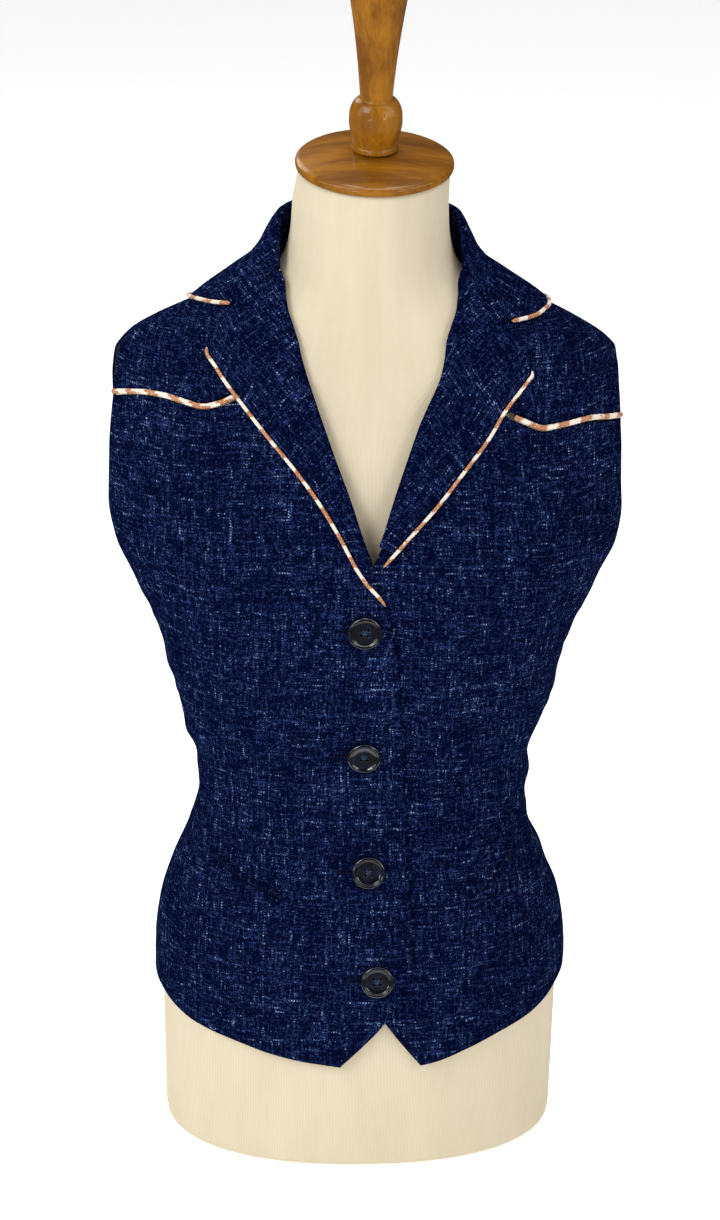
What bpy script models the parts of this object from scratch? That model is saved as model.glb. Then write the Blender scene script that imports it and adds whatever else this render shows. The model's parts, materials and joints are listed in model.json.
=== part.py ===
"""Western vest with a piped collar, lapels and front yokes, standing on its limbless dress form.

The cloth is laid out on one body surface, skin(angle, height). The angle goes round the body in degrees,
0 at the front, 90 at the wearer's left side, -90 at the right side and 180 at the back.
Every panel is a four-sided patch between boundary lines on that surface, given a cloth thickness.
"""
import math

import bmesh
import bpy
import numpy as np

MM = 0.001

# Vest's outer face in level slices, mm: height, half width, front depth, back depth, squareness.
SECTIONS = (
    (0, 145.5, 103, 101, 2.25),
    (60, 146.5, 105, 104, 2.25),
    (100, 147.0, 105, 105, 2.25),
    (140, 146.5, 103, 102, 2.25),
    (165, 143.5, 100, 98, 2.25),
    (195, 134.5, 95, 91, 2.25),
    (225, 122.5, 90, 83, 2.25),
    (255, 115.0, 87, 78, 2.25),
    (280, 116.0, 87, 78, 2.25),
    (317, 127.0, 91, 83, 2.3),
    (347, 134.0, 96, 90, 2.35),
    (375, 142.0, 99, 95, 2.4),
    (400, 150.5, 101, 99, 2.4),
    (425, 163.0, 102, 101, 2.4),
    (450, 175.0, 101, 102, 2.4),
    (480, 181.5, 97, 101, 2.35),
    (515, 182.0, 88, 97, 2.3),
    (545, 179.5, 77, 88, 2.25),
    (565, 173.5, 68, 80, 2.2),
    (580, 161.5, 61, 74, 2.15),
    (592, 143.0, 57, 69, 2.1),
    (606, 114.6, 55, 64, 2.05),
    (618, 89.0, 54, 61, 2.0),
    (628, 71.5, 54, 59, 2.0),
    (640, 62.5, 55, 58, 2.0),
    (660, 58.5, 56, 57, 2.0),
    (710, 57.0, 57, 57, 2.0),
)
SLICE = {name: column for column, name in enumerate(("height", "half_width", "front", "back", "square"))}

# Bust: the cloth bridges between the two lobes, the dress form shows both.
BUST_HEIGHT = 420.0
BUST_ABOVE = 62.0
BUST_BELOW = 70.0
BUST_SIDE = 38.0
BUST_SPREAD = 26.0
BUST_RISE = 22.0
BUST_DIP = 0.12
DIP_SPREAD = 23.0

# Largest folds of the worn cloth, soft ridges and troughs: start angle and height, end angle and height,
# half width in mm, rise in mm, a trough below 0.
FOLDS = (
    (54, 602, 47, 520, 9, 1.9),
    (-58, 598, -50, 512, 10, 1.6),
    (66, 596, 58, 552, 8, 1.3),
    (92, 330, 46, 352, 10, 1.8),
    (64, 302, 124, 290, 10, -2.8),
    (112, 258, 42, 286, 9, 2.3),
    (84, 250, 44, 240, 9, 1.6),
    (60, 232, 122, 222, 12, -2.7),
    (76, 212, 50, 194, 9, 1.3),
    (58, 198, 122, 194, 13, -2.0),
    (-92, 345, -50, 372, 10, 1.9),
    (-116, 284, -42, 320, 9, 2.8),
    (-92, 280, -46, 262, 9, 1.7),
    (-88, 250, -52, 222, 10, 1.5),
    (-120, 582, -54, 589, 17, 2.2),
    (34, 388, 31, 322, 11, -1.5),
    (-35, 392, -33, 318, 12, -1.6),
    (80, 398, 52, 432, 9, 1.5),
    (-80, 396, -54, 440, 10, 1.5),
    (146, 318, 206, 308, 11, 2.0),
    (158, 284, 222, 290, 10, 1.9),
    (140, 262, 196, 256, 11, 1.7),
    (104, 330, 134, 352, 10, 1.6),
    (256, 322, 228, 350, 10, 1.7),
    (128, 410, 142, 520, 12, 1.5),
    (232, 402, 220, 508, 12, 1.6),
    (58, 108, 56, 176, 12, 1.7),
    (-62, 104, -60, 182, 13, 1.8),
    (118, 110, 120, 190, 13, 1.9),
    (150, 108, 152, 176, 12, 1.6),
    (212, 110, 209, 186, 13, 1.8),
    (246, 116, 243, 180, 12, 1.7),
)

# Cloth and gaps, mm.
CLOTH = 1.8
LAPEL_CLOTH = 1.4
COLLAR_CLOTH = 1.6
SEAM = 0.15
YOKE_CORD = 2.15
EDGE_CORD = 1.25
CORD_GAP = 0.35
OVERLAP_DIP = 2.6
FOLD_BACK = 1.95
FORM_INSET = 6.0

# Boundary lines, one set for each side of the body: angle away from the front centre, height.
# Wearer's right front, it laps over the left one.
RIGHT = {
    "edge": ((7, 83), (0.2, 101), (-4.8, 116), (-8.8, 135), (-12, 149.5), (-12.8, 171), (-12.6, 197), (-13.2, 226),
             (-13, 262), (-10, 316), (-8.8, 341.5), (-7.3, 370), (-5.5, 402), (-3.2, 424)),
    "roll": ((-3.2, 424), (-0.5, 450), (2.2, 472), (4.8, 496), (7.8, 520), (10.8, 544.5), (14.5, 570)),
    "neck": ((14.5, 570), (19.8, 592), (36, 615), (51, 625), (64.5, 629.5), (78, 630), (90, 630)),
    "yoke_shown": ((70.2, 549.3), (60, 552.6), (52.8, 554), (48.4, 553.8), (43.4, 552), (37.3, 549.4), (32.8, 552.4), (30, 556.6)),
    "yoke_under": ((30, 556.6), (22, 564.6), (14.5, 570)),
    "hem": ((90, 115.5), (73, 112.5), (61, 106.5), (53, 102.5), (45, 99.5), (35, 95.5), (26.3, 90.5), (17.8, 86.5), (11, 84.5),
            (7, 83)),
    "armhole": ((90, 402), (85, 403.8), (80.6, 410), (77, 422), (74.2, 438), (71.4, 462), (70.2, 495), (69.5, 530), (70.2, 549.3)),
    "shoulder_end": ((70.2, 549.3), (71.7, 556.5), (75, 565), (81, 573), (90, 577)),
    "lapel_edge": ((4.2, 453.5), (8.5, 478), (12.3, 496), (16.7, 513.5), (22.6, 533.5), (28.8, 553), (37, 573),
                   (41.6, 580.5), (43.8, 585.5)),
    "lapel_end": ((43.8, 585.5), (45.4, 592), (51.5, 602), (57.5, 610.5)),
    "lapel_start": 453.5,
    "cord_start": ((-2.2, 430), (-0.4, 436.5), (1.9, 443.5), (3.2, 449)),
    "gorge": ((64.5, 632), (61.5, 622), (57.5, 610.5)),
    "collar_end": ((57.5, 610.5), (68, 608.5), (80, 607)),
    "collar_puff": 0.8,
    "collar_edge": ((80, 607), (90, 605.5), (104, 603), (125, 600), (150, 599), (180, 599)),
    "welt": ((53.8, 223.5), (27, 207)),
}
# Wearer's left front, under the right one.
LEFT = {
    "edge": ((15, 83), (9.2, 102), (5, 116), (1.2, 128), (-3, 141), (-7, 156), (-9.5, 175), (-11, 200), (-13.5, 235),
             (-14.5, 262), (-13.5, 300), (-12, 341), (-9.5, 385), (-7, 412), (-5, 424)),
    "roll": ((-5, 424), (-2.2, 447), (1.2, 469), (4.2, 496), (7, 520), (10.2, 544.5), (14.3, 566)),
    "neck": ((14.3, 566), (19.8, 592), (36, 615), (51, 625), (64.5, 629.5), (78, 630), (90, 630)),
    "yoke_shown": ((65.5, 535.5), (58, 537), (50.8, 538.5), (42.8, 536.8), (37.5, 535.7), (32.8, 540.4), (30.2, 544)),
    "yoke_under": ((30.2, 544), (23, 554.5), (14.3, 566)),
    "hem": ((90, 122), (78, 121), (68, 118), (58.2, 112), (50.3, 106.5), (38.5, 100), (29, 92.5), (20.2, 85.5), (15, 83)),
    "armhole": ((90, 402), (84.5, 404), (79.5, 411), (75.2, 423), (71.6, 439), (67.2, 465), (65, 494), (64.8, 525), (65.5, 535.5)),
    "shoulder_end": ((65.5, 535.5), (67.2, 551), (73, 566), (80.5, 573.5), (90, 577)),
    "lapel_edge": ((4.6, 462), (9.5, 478), (13.5, 491), (18.8, 510.5), (24.5, 531), (28.5, 547), (34.8, 563), (36.9, 567.5),
                   (37.6, 572)),
    "lapel_end": ((37.6, 572), (38.7, 581), (42, 594), (44.2, 601.5)),
    "lapel_start": 467.5,
    "cord_start": ((2.2, 454.5), (3.2, 457.5)),
    "gorge": ((64.5, 632), (54.8, 617.5), (44.2, 601.5)),
    "collar_end": ((44.2, 601.5), (57, 602), (72, 603.5)),
    "collar_puff": 0.6,
    "collar_edge": ((72, 603.5), (90, 604), (104, 602.5), (125, 600), (150, 599), (180, 599)),
    "welt": ((52, 224.5), (34.5, 206)),
}
# Back: neck line from side to centre, armhole from the armpit up, hem from side to side.
BACK_NECK = ((90, 630), (130, 631), (180, 632))
BACK_ARMHOLE = ((90, 402), (95.5, 403.6), (100.5, 409), (105, 420), (109, 440), (112, 480), (111.5, 515), (108, 545), (101.5, 566), (90, 577))
SHOULDER = ((90, 577), (90, 630))
BACK_HEM = ((90, 115.5), (130, 109), (180, 106), (230, 110), (270, 122))

# Collar fold: angle, height, how far the stand leans out, how far the fall stands off the shoulder.
FOLD = ((64.5, 633.6, 1.6, 0.0), (70, 640, 1.6, 3.5), (78, 649, 1.4, 7.5), (90, 658.2, 1.2, 9.0), (104, 663, 1.0, 8.5),
        (129, 665, 0.6, 4.5), (180, 667, 0.4, 2.5))
FOLD_COLUMN = {name: column for column, name in enumerate(("angle", "height", "lean", "stand_off"))}
FOLD_RADIUS = 1.75

# Lapel section at the roll line: distance from the line towards the lapel's edge, height over the front.
LAPEL_WRAP = ((0.75, -0.9), (0.6, 0.4), (1.05, 1.6), (2.0, 2.5), (3.6, 2.9))

# Buttons: offset from the body's centre, height.
BUTTONS = ((-6.0, 413.0), (-3.8, 313.0), (0.5, 226.0), (7.0, 149.0))
BUTTON_RADIUS = 11.5
BUTTON_HOLE = 1.15
BUTTON_HOLE_REACH = 2.6

# Dress form, neck cap and finial, mm.
NECK_LEAN = 10.8
NECK_TOP = (2.3, -4.0, 697.0)
CAP_PROFILE = ((0.0, 0.0), (50.8, 0.0), (52.3, 1.0), (52.6, 2.6), (52.3, 4.4), (50.8, 5.7), (44.0, 7.3), (34.0, 9.2),
               (20.0, 11.2), (0.0, 12.4))
CAP_RISE = 12.4
FINIAL_PROFILE = ((0.0, 0.0), (14.8, 0.0), (15.5, 1.2), (15.2, 3.2), (14.8, 4.2), (15.4, 8.0), (16.7, 13.0), (17.6, 19.0),
                  (17.4, 25.0), (16.1, 30.0), (13.6, 33.8), (11.0, 35.2), (10.7, 36.2), (11.8, 50.0), (13.9, 70.0),
                  (16.6, 90.0), (19.0, 106.0), (19.4, 110.0), (18.2, 113.5), (10.0, 116.0), (0.0, 116.6))
RIM = 0.3


def smooth(table, column, at):
    """Monotone smooth line through one column of a table, read against its first column."""
    xs = np.array([row[0] for row in table], float)
    ys = np.array([row[column] for row in table], float)
    return ease(xs, ys, at)


def ease(xs, ys, at):
    """Value at each place of a smooth line that never overshoots its points."""
    step = np.diff(xs)
    rise = np.diff(ys) / step
    slope = np.zeros_like(ys)
    first = 2 * step[1:] + step[:-1]
    second = step[1:] + 2 * step[:-1]
    for i in range(1, len(xs) - 1):
        if rise[i - 1] * rise[i] > 0:
            total = first[i - 1] + second[i - 1]
            slope[i] = total / (first[i - 1] / rise[i - 1] + second[i - 1] / rise[i])
    slope[0] = rise[0]
    slope[-1] = rise[-1]
    at = np.clip(np.asarray(at, float), xs[0], xs[-1])
    i = np.clip(np.searchsorted(xs, at, side="right") - 1, 0, len(xs) - 2)
    t = (at - xs[i]) / step[i]
    start = (2 * t ** 3 - 3 * t ** 2 + 1) * ys[i] + (t ** 3 - 2 * t ** 2 + t) * step[i] * slope[i]
    end = (3 * t ** 2 - 2 * t ** 3) * ys[i + 1] + (t ** 3 - t ** 2) * step[i] * slope[i + 1]
    return start + end


def bust(angle, height, bridged):
    """Forward rise of the bust over the slices."""
    away = np.minimum(np.abs(angle), 360 - np.abs(angle))
    reach = np.where(height > BUST_HEIGHT, BUST_ABOVE, BUST_BELOW)
    level = np.exp(-((height - BUST_HEIGHT) / reach) ** 2)
    lobe = np.exp(-((away - BUST_SIDE) / BUST_SPREAD) ** 2)
    shelf = np.where(away < BUST_SIDE, 1.0, lobe) * (1 - BUST_DIP * np.exp(-(away / DIP_SPREAD) ** 2))
    return BUST_RISE * level * (shelf if bridged else lobe)


def skin(angle, height, bridged=True):
    """Point of the body surface."""
    angle = np.asarray(angle, float)
    height = np.asarray(height, float)
    half_width, front, back, square = (smooth(SECTIONS, SLICE[name], height) for name in
                                       ("half_width", "front", "back", "square"))
    across = np.sin(np.radians(angle))
    along = np.cos(np.radians(angle))
    size = (np.abs(across) ** square + np.abs(along) ** square) ** (1 / square)
    depth = np.where(along > 0, front, back)
    x = half_width * across / size
    y = -depth * along / size - bust(angle, height, bridged) * np.sqrt(np.clip(along, 0, 1))
    return np.stack([x, y, height + 0 * x], -1)


def slopes(angle, height, bridged=True):
    """How the surface moves for a degree of angle and for a millimetre of height."""
    turn = (skin(angle + 0.05, height, bridged) - skin(angle - 0.05, height, bridged)) / 0.1
    climb = (skin(angle, height + 0.25, bridged) - skin(angle, height - 0.25, bridged)) / 0.5
    return turn, climb


def outward(angle, height, bridged=True):
    turn, climb = slopes(angle, height, bridged)
    normal = np.cross(turn, climb)
    return normal / np.linalg.norm(normal, axis=-1, keepdims=True)


def fold_rise(angle, height):
    """Rise of the cloth's folds, each one fading out towards its ends."""
    angle = np.asarray(angle, float) % 360
    height = np.asarray(height, float)
    total = np.zeros(np.broadcast(angle, height).shape)
    for start_angle, start, end_angle, end, half_width, rise in FOLDS:
        girth = float(smooth(SECTIONS, SLICE["half_width"], (start + end) / 2)) * math.pi / 200
        away = ((angle - start_angle + 180) % 360 - 180) * girth
        run_across = (end_angle - start_angle) * girth
        run_up = end - start
        length = math.hypot(run_across, run_up)
        along = (away * run_across + (height - start) * run_up) / length ** 2
        aside = (away * run_up - (height - start) * run_across) / length
        fade = soft_step(np.clip(along, 0, 1) / 0.35) * soft_step(np.clip(1 - along, 0, 1) / 0.35)
        total = total + rise * fade * np.exp(-(aside / half_width) ** 2)
    return total


def lift(angle, height, rise, bridged=True):
    """Point at a rise above the body surface."""
    rise = np.asarray(rise, float)
    if bridged:
        rise = rise + fold_rise(angle, height)
    return skin(angle, height, bridged) + outward(angle, height, bridged) * rise[..., None]


def run(points, count, side=1.0):
    """A line through (angle, height) points, sampled closer where its points are closer."""
    points = np.array(points, float)
    points[:, 0] *= side
    steps = np.linalg.norm(np.diff(skin(points[:, 0], points[:, 1]), axis=0), axis=-1)
    length = np.concatenate([[0], np.cumsum(steps)])
    place = length / length[-1] + np.arange(len(points)) / (len(points) - 1)
    at = np.linspace(0, place[-1], count)
    return np.stack([ease(place, points[:, 0], at), ease(place, points[:, 1], at)], -1)


def join(*lines):
    """Lines end to end, the shared points kept once."""
    return np.concatenate([lines[0]] + [line[1:] for line in lines[1:]])


def shift(line, distance):
    """The line moved sideways over the surface, to its left as seen from outside."""
    angle = line[:, 0]
    height = line[:, 1]
    points = skin(angle, height)
    forward = np.gradient(points, axis=0)
    aside = np.cross(outward(angle, height), forward)
    aside = aside / np.linalg.norm(aside, axis=-1, keepdims=True) * np.broadcast_to(distance, angle.shape)[:, None]
    turn, climb = slopes(angle, height)
    tt = (turn * turn).sum(-1)
    tc = (turn * climb).sum(-1)
    cc = (climb * climb).sum(-1)
    ta = (turn * aside).sum(-1)
    ca = (climb * aside).sum(-1)
    scale = tt * cc - tc * tc
    return line + np.stack([(ta * cc - ca * tc) / scale, (ca * tt - ta * tc) / scale], -1)


def patch(bottom, top, left, right):
    """Four boundary lines filled smoothly. Rows run from bottom to top."""
    u = np.linspace(0, 1, len(bottom))[None, :, None]
    v = np.linspace(0, 1, len(left))[:, None, None]
    lines = (1 - v) * bottom[None] + v * top[None] + (1 - u) * left[:, None] + u * right[:, None]
    corners = (1 - u) * (1 - v) * bottom[0] + u * (1 - v) * bottom[-1] + (1 - u) * v * top[0] + u * v * top[-1]
    return lines - corners


def soft_step(value):
    value = np.clip(value, 0, 1)
    return value * value * (3 - 2 * value)


def add_solid(name, vertices, faces, material):
    """One closed solid from points in millimetres."""
    mesh = bpy.data.meshes.new(name)
    mesh.from_pydata([tuple(float(v) * MM for v in point) for point in vertices], [], faces)
    shape = bmesh.new()
    shape.from_mesh(mesh)
    bmesh.ops.recalc_face_normals(shape, faces=shape.faces)
    shape.to_mesh(mesh)
    shape.free()
    mesh.materials.append(material)
    for face in mesh.polygons:
        face.use_smooth = True
    solid = bpy.data.objects.new(name, mesh)
    vest.objects.link(solid)
    return solid


def sheet(name, outer, inner, material):
    """A cloth piece between an outer and an inner grid of points, closed round its edges."""
    rows, columns = outer.shape[:2]
    vertices = list(outer.reshape(-1, 3)) + list(inner.reshape(-1, 3))
    under = rows * columns
    faces = []
    for i in range(rows - 1):
        for j in range(columns - 1):
            a = i * columns + j
            faces.append((a, a + 1, a + columns + 1, a + columns))
            faces.append((under + a, under + a + columns, under + a + columns + 1, under + a + 1))
    rim = [(0, j) for j in range(columns)] + [(i, columns - 1) for i in range(1, rows)]
    rim += [(rows - 1, j) for j in range(columns - 2, -1, -1)] + [(i, 0) for i in range(rows - 2, 0, -1)]
    for here, there in zip(rim, rim[1:] + rim[:1]):
        a = here[0] * columns + here[1]
        b = there[0] * columns + there[1]
        faces.append((a, under + a, under + b, b))
    return add_solid(name, vertices, faces, material)


def grid_normals(points):
    down = np.gradient(points, axis=0)
    across = np.gradient(points, axis=1)
    normal = np.cross(across, down)
    return normal / np.linalg.norm(normal, axis=-1, keepdims=True)


def thick_sheet(name, middle, thickness, material):
    """A cloth piece with its thickness shared by both sides of a grid of points."""
    normal = grid_normals(middle)
    return sheet(name, middle + normal * thickness / 2, middle - normal * thickness / 2, material)


def cord(name, path, radius, material, sides=6):
    """A round cord along a path, with flat ends."""
    path = np.asarray(path, float)
    ahead = np.gradient(path, axis=0)
    ahead /= np.linalg.norm(ahead, axis=-1, keepdims=True)
    up = np.array([0.0, 0.0, 1.0])
    vertices = []
    for point, forward in zip(path, ahead):
        aside = np.cross(forward, up if abs(forward[2]) < 0.9 else np.array([0.0, 1.0, 0.0]))
        if vertices:
            aside = last - forward * (last @ forward)
        aside /= np.linalg.norm(aside)
        other = np.cross(forward, aside)
        last = aside
        for k in range(sides):
            turn = 2 * math.pi * (k + 0.5) / sides
            vertices.append(point + radius * (aside * math.cos(turn) + other * math.sin(turn)))
    faces = [tuple(range(sides)), tuple(len(vertices) - 1 - k for k in range(sides))]
    for i in range(len(path) - 1):
        for k in range(sides):
            a = i * sides + k
            b = i * sides + (k + 1) % sides
            faces.append((a, b, b + sides, a + sides))
    return add_solid(name, vertices, faces, material)


def turned(name, profile, base, lean, material, steps):
    """A turned wooden piece on an axis that leans forward."""
    vertices = [(0.0, 0.0, profile[0][1])]
    for radius, height in profile[1:-1]:
        for k in range(steps):
            turn = 2 * math.pi * k / steps
            vertices.append((radius * math.cos(turn), radius * math.sin(turn), height))
    vertices.append((0.0, 0.0, profile[-1][1]))
    faces = []
    rings = len(profile) - 2
    for k in range(steps):
        nxt = (k + 1) % steps
        faces.append((0, 1 + nxt, 1 + k))
        faces.append((len(vertices) - 1, 1 + (rings - 1) * steps + k, 1 + (rings - 1) * steps + nxt))
        for i in range(rings - 1):
            a = 1 + i * steps
            faces.append((a + k, a + nxt, a + steps + nxt, a + steps + k))
    c = math.cos(math.radians(lean))
    s = math.sin(math.radians(lean))
    placed = [(x + base[0], y * c - z * s + base[1], y * s + z * c + base[2]) for x, y, z in vertices]
    return add_solid(name, placed, faces, material)


def make_material(name, colour, roughness):
    material = bpy.data.materials.new(name)
    material.use_nodes = True
    shader = material.node_tree.nodes["Principled BSDF"]
    shader.inputs["Base Color"].default_value = (*colour, 1.0)
    shader.inputs["Roughness"].default_value = roughness
    material.diffuse_color = (*colour, 1.0)
    return material


# Cloth pieces on the body.
ROWS_LOW = 26
ROWS_HIGH = 9
COLUMNS_SHOWN = 12
COLUMNS_UNDER = 5


def front_edge_x(height):
    """Where the right front's edge lies over the left front."""
    line = np.array(RIGHT["edge"], float)
    angle = ease(line[:, 1], -line[:, 0], height)
    return skin(angle, height)[..., 0]


def left_dip(angle, height):
    """How far the left front passes below the body surface, so that the right one laps over it."""
    beyond = skin(angle, height)[..., 0] - front_edge_x(np.minimum(height, 424.0))
    return -OVERLAP_DIP * (1 - soft_step((beyond - 3) / 16)) * (1 - soft_step((height - 455) / 30))


def front_lines(table, side):
    """Boundary lines of a front: hem, yoke seam, outer side and inner side, seam gaps taken off."""
    shown = run(table["yoke_shown"], COLUMNS_SHOWN, side)
    under = run(table["yoke_under"], COLUMNS_UNDER, side)
    seam = join(shown, under)
    back_off = np.array([YOKE_CORD + CORD_GAP] * COLUMNS_SHOWN + [SEAM] * (COLUMNS_UNDER - 1))
    outer = join(run(((90, table["hem"][0][1]), (90, 402)), ROWS_LOW, side), run(table["armhole"], ROWS_HIGH, side))
    inner = join(run(table["edge"], ROWS_LOW, side), run(table["roll"], ROWS_HIGH, side))
    inset = np.array([0.0] * ROWS_LOW + [FOLD_BACK for k in range(ROWS_HIGH - 1)])
    hem = run(table["hem"], len(seam), side)
    return hem, shift(seam, side * back_off), outer, shift(inner, -side * inset), seam


def make_front(name, table, side, material):
    hem, seam, outer, inner, _ = front_lines(table, side)
    gap = np.where(outer[:, 1] < 402, SEAM, 0.0)
    outer = shift(outer, side * gap)
    outer[-1] = seam[0]
    hem[0] = outer[0]
    hem[-1] = inner[0]
    seam[-1] = inner[-1] = (inner[-1][0], inner[-1][1] - SEAM)
    grid = patch(hem, seam, outer, inner)
    rise = left_dip(grid[..., 0], grid[..., 1]) if side > 0 else np.zeros(grid.shape[:2])
    return sheet(name, lift(grid[..., 0], grid[..., 1], rise), lift(grid[..., 0], grid[..., 1], rise - CLOTH), material)


def opening(table, heights, side):
    """Front opening above the top button at these heights: the edge of the front and then of the yoke."""
    line = np.array(table["roll"] + table["neck"][1:5], float)
    return np.stack([side * ease(line[:, 1], line[:, 0], heights), heights], -1)


YOKE_ROWS = 11


def make_yoke(name, table, side, material):
    _, _, _, _, seam = front_lines(table, side)
    on = np.array([YOKE_CORD + CORD_GAP] * COLUMNS_SHOWN + [SEAM] * (COLUMNS_UNDER - 1))
    bottom = shift(seam, -side * on)
    top = shift(run(SHOULDER, len(seam), side), side * SEAM)
    end = run(table["shoulder_end"], YOKE_ROWS, side)
    low = opening(table, np.linspace(table["roll"][-1][1], 615.0, YOKE_ROWS - 4), side)
    neck = shift(np.concatenate([low, np.array(table["neck"][3:], float) * (side, 1)]), -side * FOLD_BACK)
    end[0] = bottom[0]
    end[-1] = top[0]
    bottom[-1] = neck[0] = (neck[0][0], neck[0][1] + SEAM)
    neck[-1] = top[-1] = (top[-1][0], top[-1][1] - 1.3)
    grid = patch(bottom, top, end, neck)
    flat = np.zeros(grid.shape[:2])
    return sheet(name, lift(grid[..., 0], grid[..., 1], flat), lift(grid[..., 0], grid[..., 1], flat - CLOTH), material)


def mirrored(line):
    """The same line on the other half of the back."""
    return np.stack([360 - line[:, 0], line[:, 1]], -1)


def make_back(material):
    side_rows = 18
    hole_rows = 10
    shoulder_rows = 7
    columns = 21
    hem = run(BACK_HEM, columns)
    half = run(BACK_NECK, columns // 2 + 1)
    half[:, 1] -= 1.3
    top = join(half, mirrored(half)[::-1])
    shoulder = shift(run(SHOULDER, shoulder_rows), -SEAM)
    shoulder[-1] = top[0] = (shoulder[-1][0], top[0][1])
    sides = []
    for low in (BACK_HEM[0][1], BACK_HEM[-1][1]):
        seam = run(((90, low), (90, 402)), side_rows)
        seam[:, 0] += 0.1
        hole = run(BACK_ARMHOLE, hole_rows)
        hole[0] = seam[-1]
        hole[-1] = shoulder[0]
        sides.append(join(seam, hole, shoulder))
    near = sides[1]
    far = mirrored(sides[0])
    top[-1] = far[-1]
    hem = mirrored(hem)[::-1]
    hem[0] = near[0]
    hem[-1] = far[0]
    grid = patch(hem, top, near, far)
    flat = np.zeros(grid.shape[:2])
    return sheet("back", lift(grid[..., 0], grid[..., 1], flat), lift(grid[..., 0], grid[..., 1], flat - CLOTH), material)


# Lapels and collar.
LAPEL_ROWS = 19
LAPEL_COLUMNS = 6
EDGE_BACK = 2 * EDGE_CORD + 0.5


def roll_line(table, count, side):
    """Roll line of a lapel, on the same line as the edges of the front and the yoke under it."""
    low = opening(table, np.linspace(table["lapel_start"], 612.0, count - 4), side)
    high = np.array(((45, 622.3), (52, 626.8), (58, 630.0), (62.5, 632.2))) * (side, 1)
    return np.concatenate([low, high])


def lapel_top(table, side):
    """Top edge of a lapel, from the roll line along the collar seam to the corner."""
    gorge = ((62.5, 632.2),) + tuple(table["gorge"][1:])
    line = join(run(gorge, 7, side), run(table["lapel_end"][::-1], 6, side))
    back_off = np.array([0.5] * 7 + [0.4] * 5)
    back_off[0] = 0.0
    return shift(line, -side * back_off)


def make_lapel(name, table, side, material):
    rows = LAPEL_ROWS
    roll = roll_line(table, rows, side)
    edge = shift(run(table["lapel_edge"], rows, side), side * EDGE_BACK)
    top = lapel_top(table, side)
    top[-1] = edge[-1]
    wrap = np.array(LAPEL_WRAP)
    columns = len(wrap) + LAPEL_COLUMNS
    base = skin(roll[:, 0], roll[:, 1])
    up = outward(roll[:, 0], roll[:, 1])
    along = np.gradient(base, axis=0)
    toward = np.cross(up, along) * -side
    toward /= np.linalg.norm(toward, axis=-1, keepdims=True)
    width = np.linalg.norm(skin(edge[:, 0], edge[:, 1]) - base, axis=-1)
    climb = soft_step((np.arange(rows) / (rows - 1) - 0.7) / 0.3)
    steps = np.linalg.norm(np.diff(skin(top[:, 0], top[:, 1]), axis=0), axis=-1)
    length = np.concatenate([[0], np.cumsum(steps)]) / steps.sum()
    middle = np.zeros((rows, columns, 3))
    for i in range(rows):
        for k, (distance, rise) in enumerate(wrap):
            middle[i, k] = base[i] + toward[i] * distance + up[i] * (rise + climb[i] * soft_step(k / 4))
        start = wrap[-1, 0] / width[i]
        for k in range(LAPEL_COLUMNS):
            t = (k + 1) / LAPEL_COLUMNS
            place = start + (1 - start) * t
            spot = roll[i] + (edge[i] - roll[i]) * place
            bend = np.array([np.interp(place, length, top[:, 0]), np.interp(place, length, top[:, 1])])
            bend -= roll[-1] + (edge[-1] - roll[-1]) * place
            spot = spot + bend * (i / (rows - 1)) ** 3
            middle[i, len(wrap) + k] = lift(spot[0], spot[1], 2.9 - 0.9 * t + climb[i] * (1 - t))
    return thick_sheet(name, middle, LAPEL_CLOTH, material)


def lapel_cord(name, table, side, material):
    start = run(table["cord_start"], len(table["cord_start"]), side)
    line = shift(np.concatenate([start, run(table["lapel_edge"], 24, side)]), side * EDGE_CORD)[:-1]
    return cord(name, lift(line[:, 0], line[:, 1], np.full(len(line), EDGE_CORD + 0.55)), EDGE_CORD, material)


def fold_value(name, angle):
    return smooth(FOLD, FOLD_COLUMN[name], angle)


def collar_half(table, stations):
    """One half of the collar's grid: a column of points for each station from the front end to the back."""
    angles = np.array([65.5, 67.5, 70, 74, 78, 84, 90, 97, 104, 114, 126, 140, 153, 166, 180], float)
    count = len(angles)
    fall = 9
    edge = run(table["collar_edge"], count)
    edge_rise = 2.0
    first = join(run(((65.5, 633.0),) + tuple(table["gorge"][1:]), 6), run(table["collar_end"], 4))
    first[1:5] = shift(first, 0.4)[1:5]
    columns = []
    for i, angle in enumerate(angles):
        neck = smooth((BACK_NECK if angle > 90 else RIGHT["neck"][3:]), 1, angle)
        top = fold_value("height", angle)
        lean = fold_value("lean", angle)
        off = fold_value("stand_off", angle) * (1 + (table["collar_puff"] - 1) * soft_step((150 - angle) / 60))
        radius = min(FOLD_RADIUS, (top - neck) * 0.45)
        points = []
        for t in (0.0, 0.5, 1.0):
            z = neck + 0.9 + (top - radius - neck - 0.9) * t
            points.append(lift(angle, z, 0.2 + lean * t))
        for turn in (45, 90, 135):
            a = math.radians(turn)
            z = top - radius + radius * math.sin(a)
            points.append(lift(angle, z, 0.2 + lean + radius * (1 - math.cos(a))))
        u = i / (count - 1)
        weight = (1 - u) ** 3
        for k in range(fall):
            t = k / (fall - 1)
            straight = np.array([angle, top - radius]) * (1 - t) + edge[i] * t
            start_line = np.array([angles[0], fold_value("height", angles[0]) - 1.0]) * (1 - t) + edge[0] * t
            bend = first[k] - start_line
            spot = straight + bend * weight
            rise = (0.2 + lean + 2 * radius) * (1 - t) + edge_rise * t + 0.9 * math.sin(math.pi * t)
            rise += off * math.sin(math.pi * t ** 0.75)
            points.append(lift(spot[0], spot[1], rise))
        columns.append(points)
    return np.array(columns)


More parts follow.
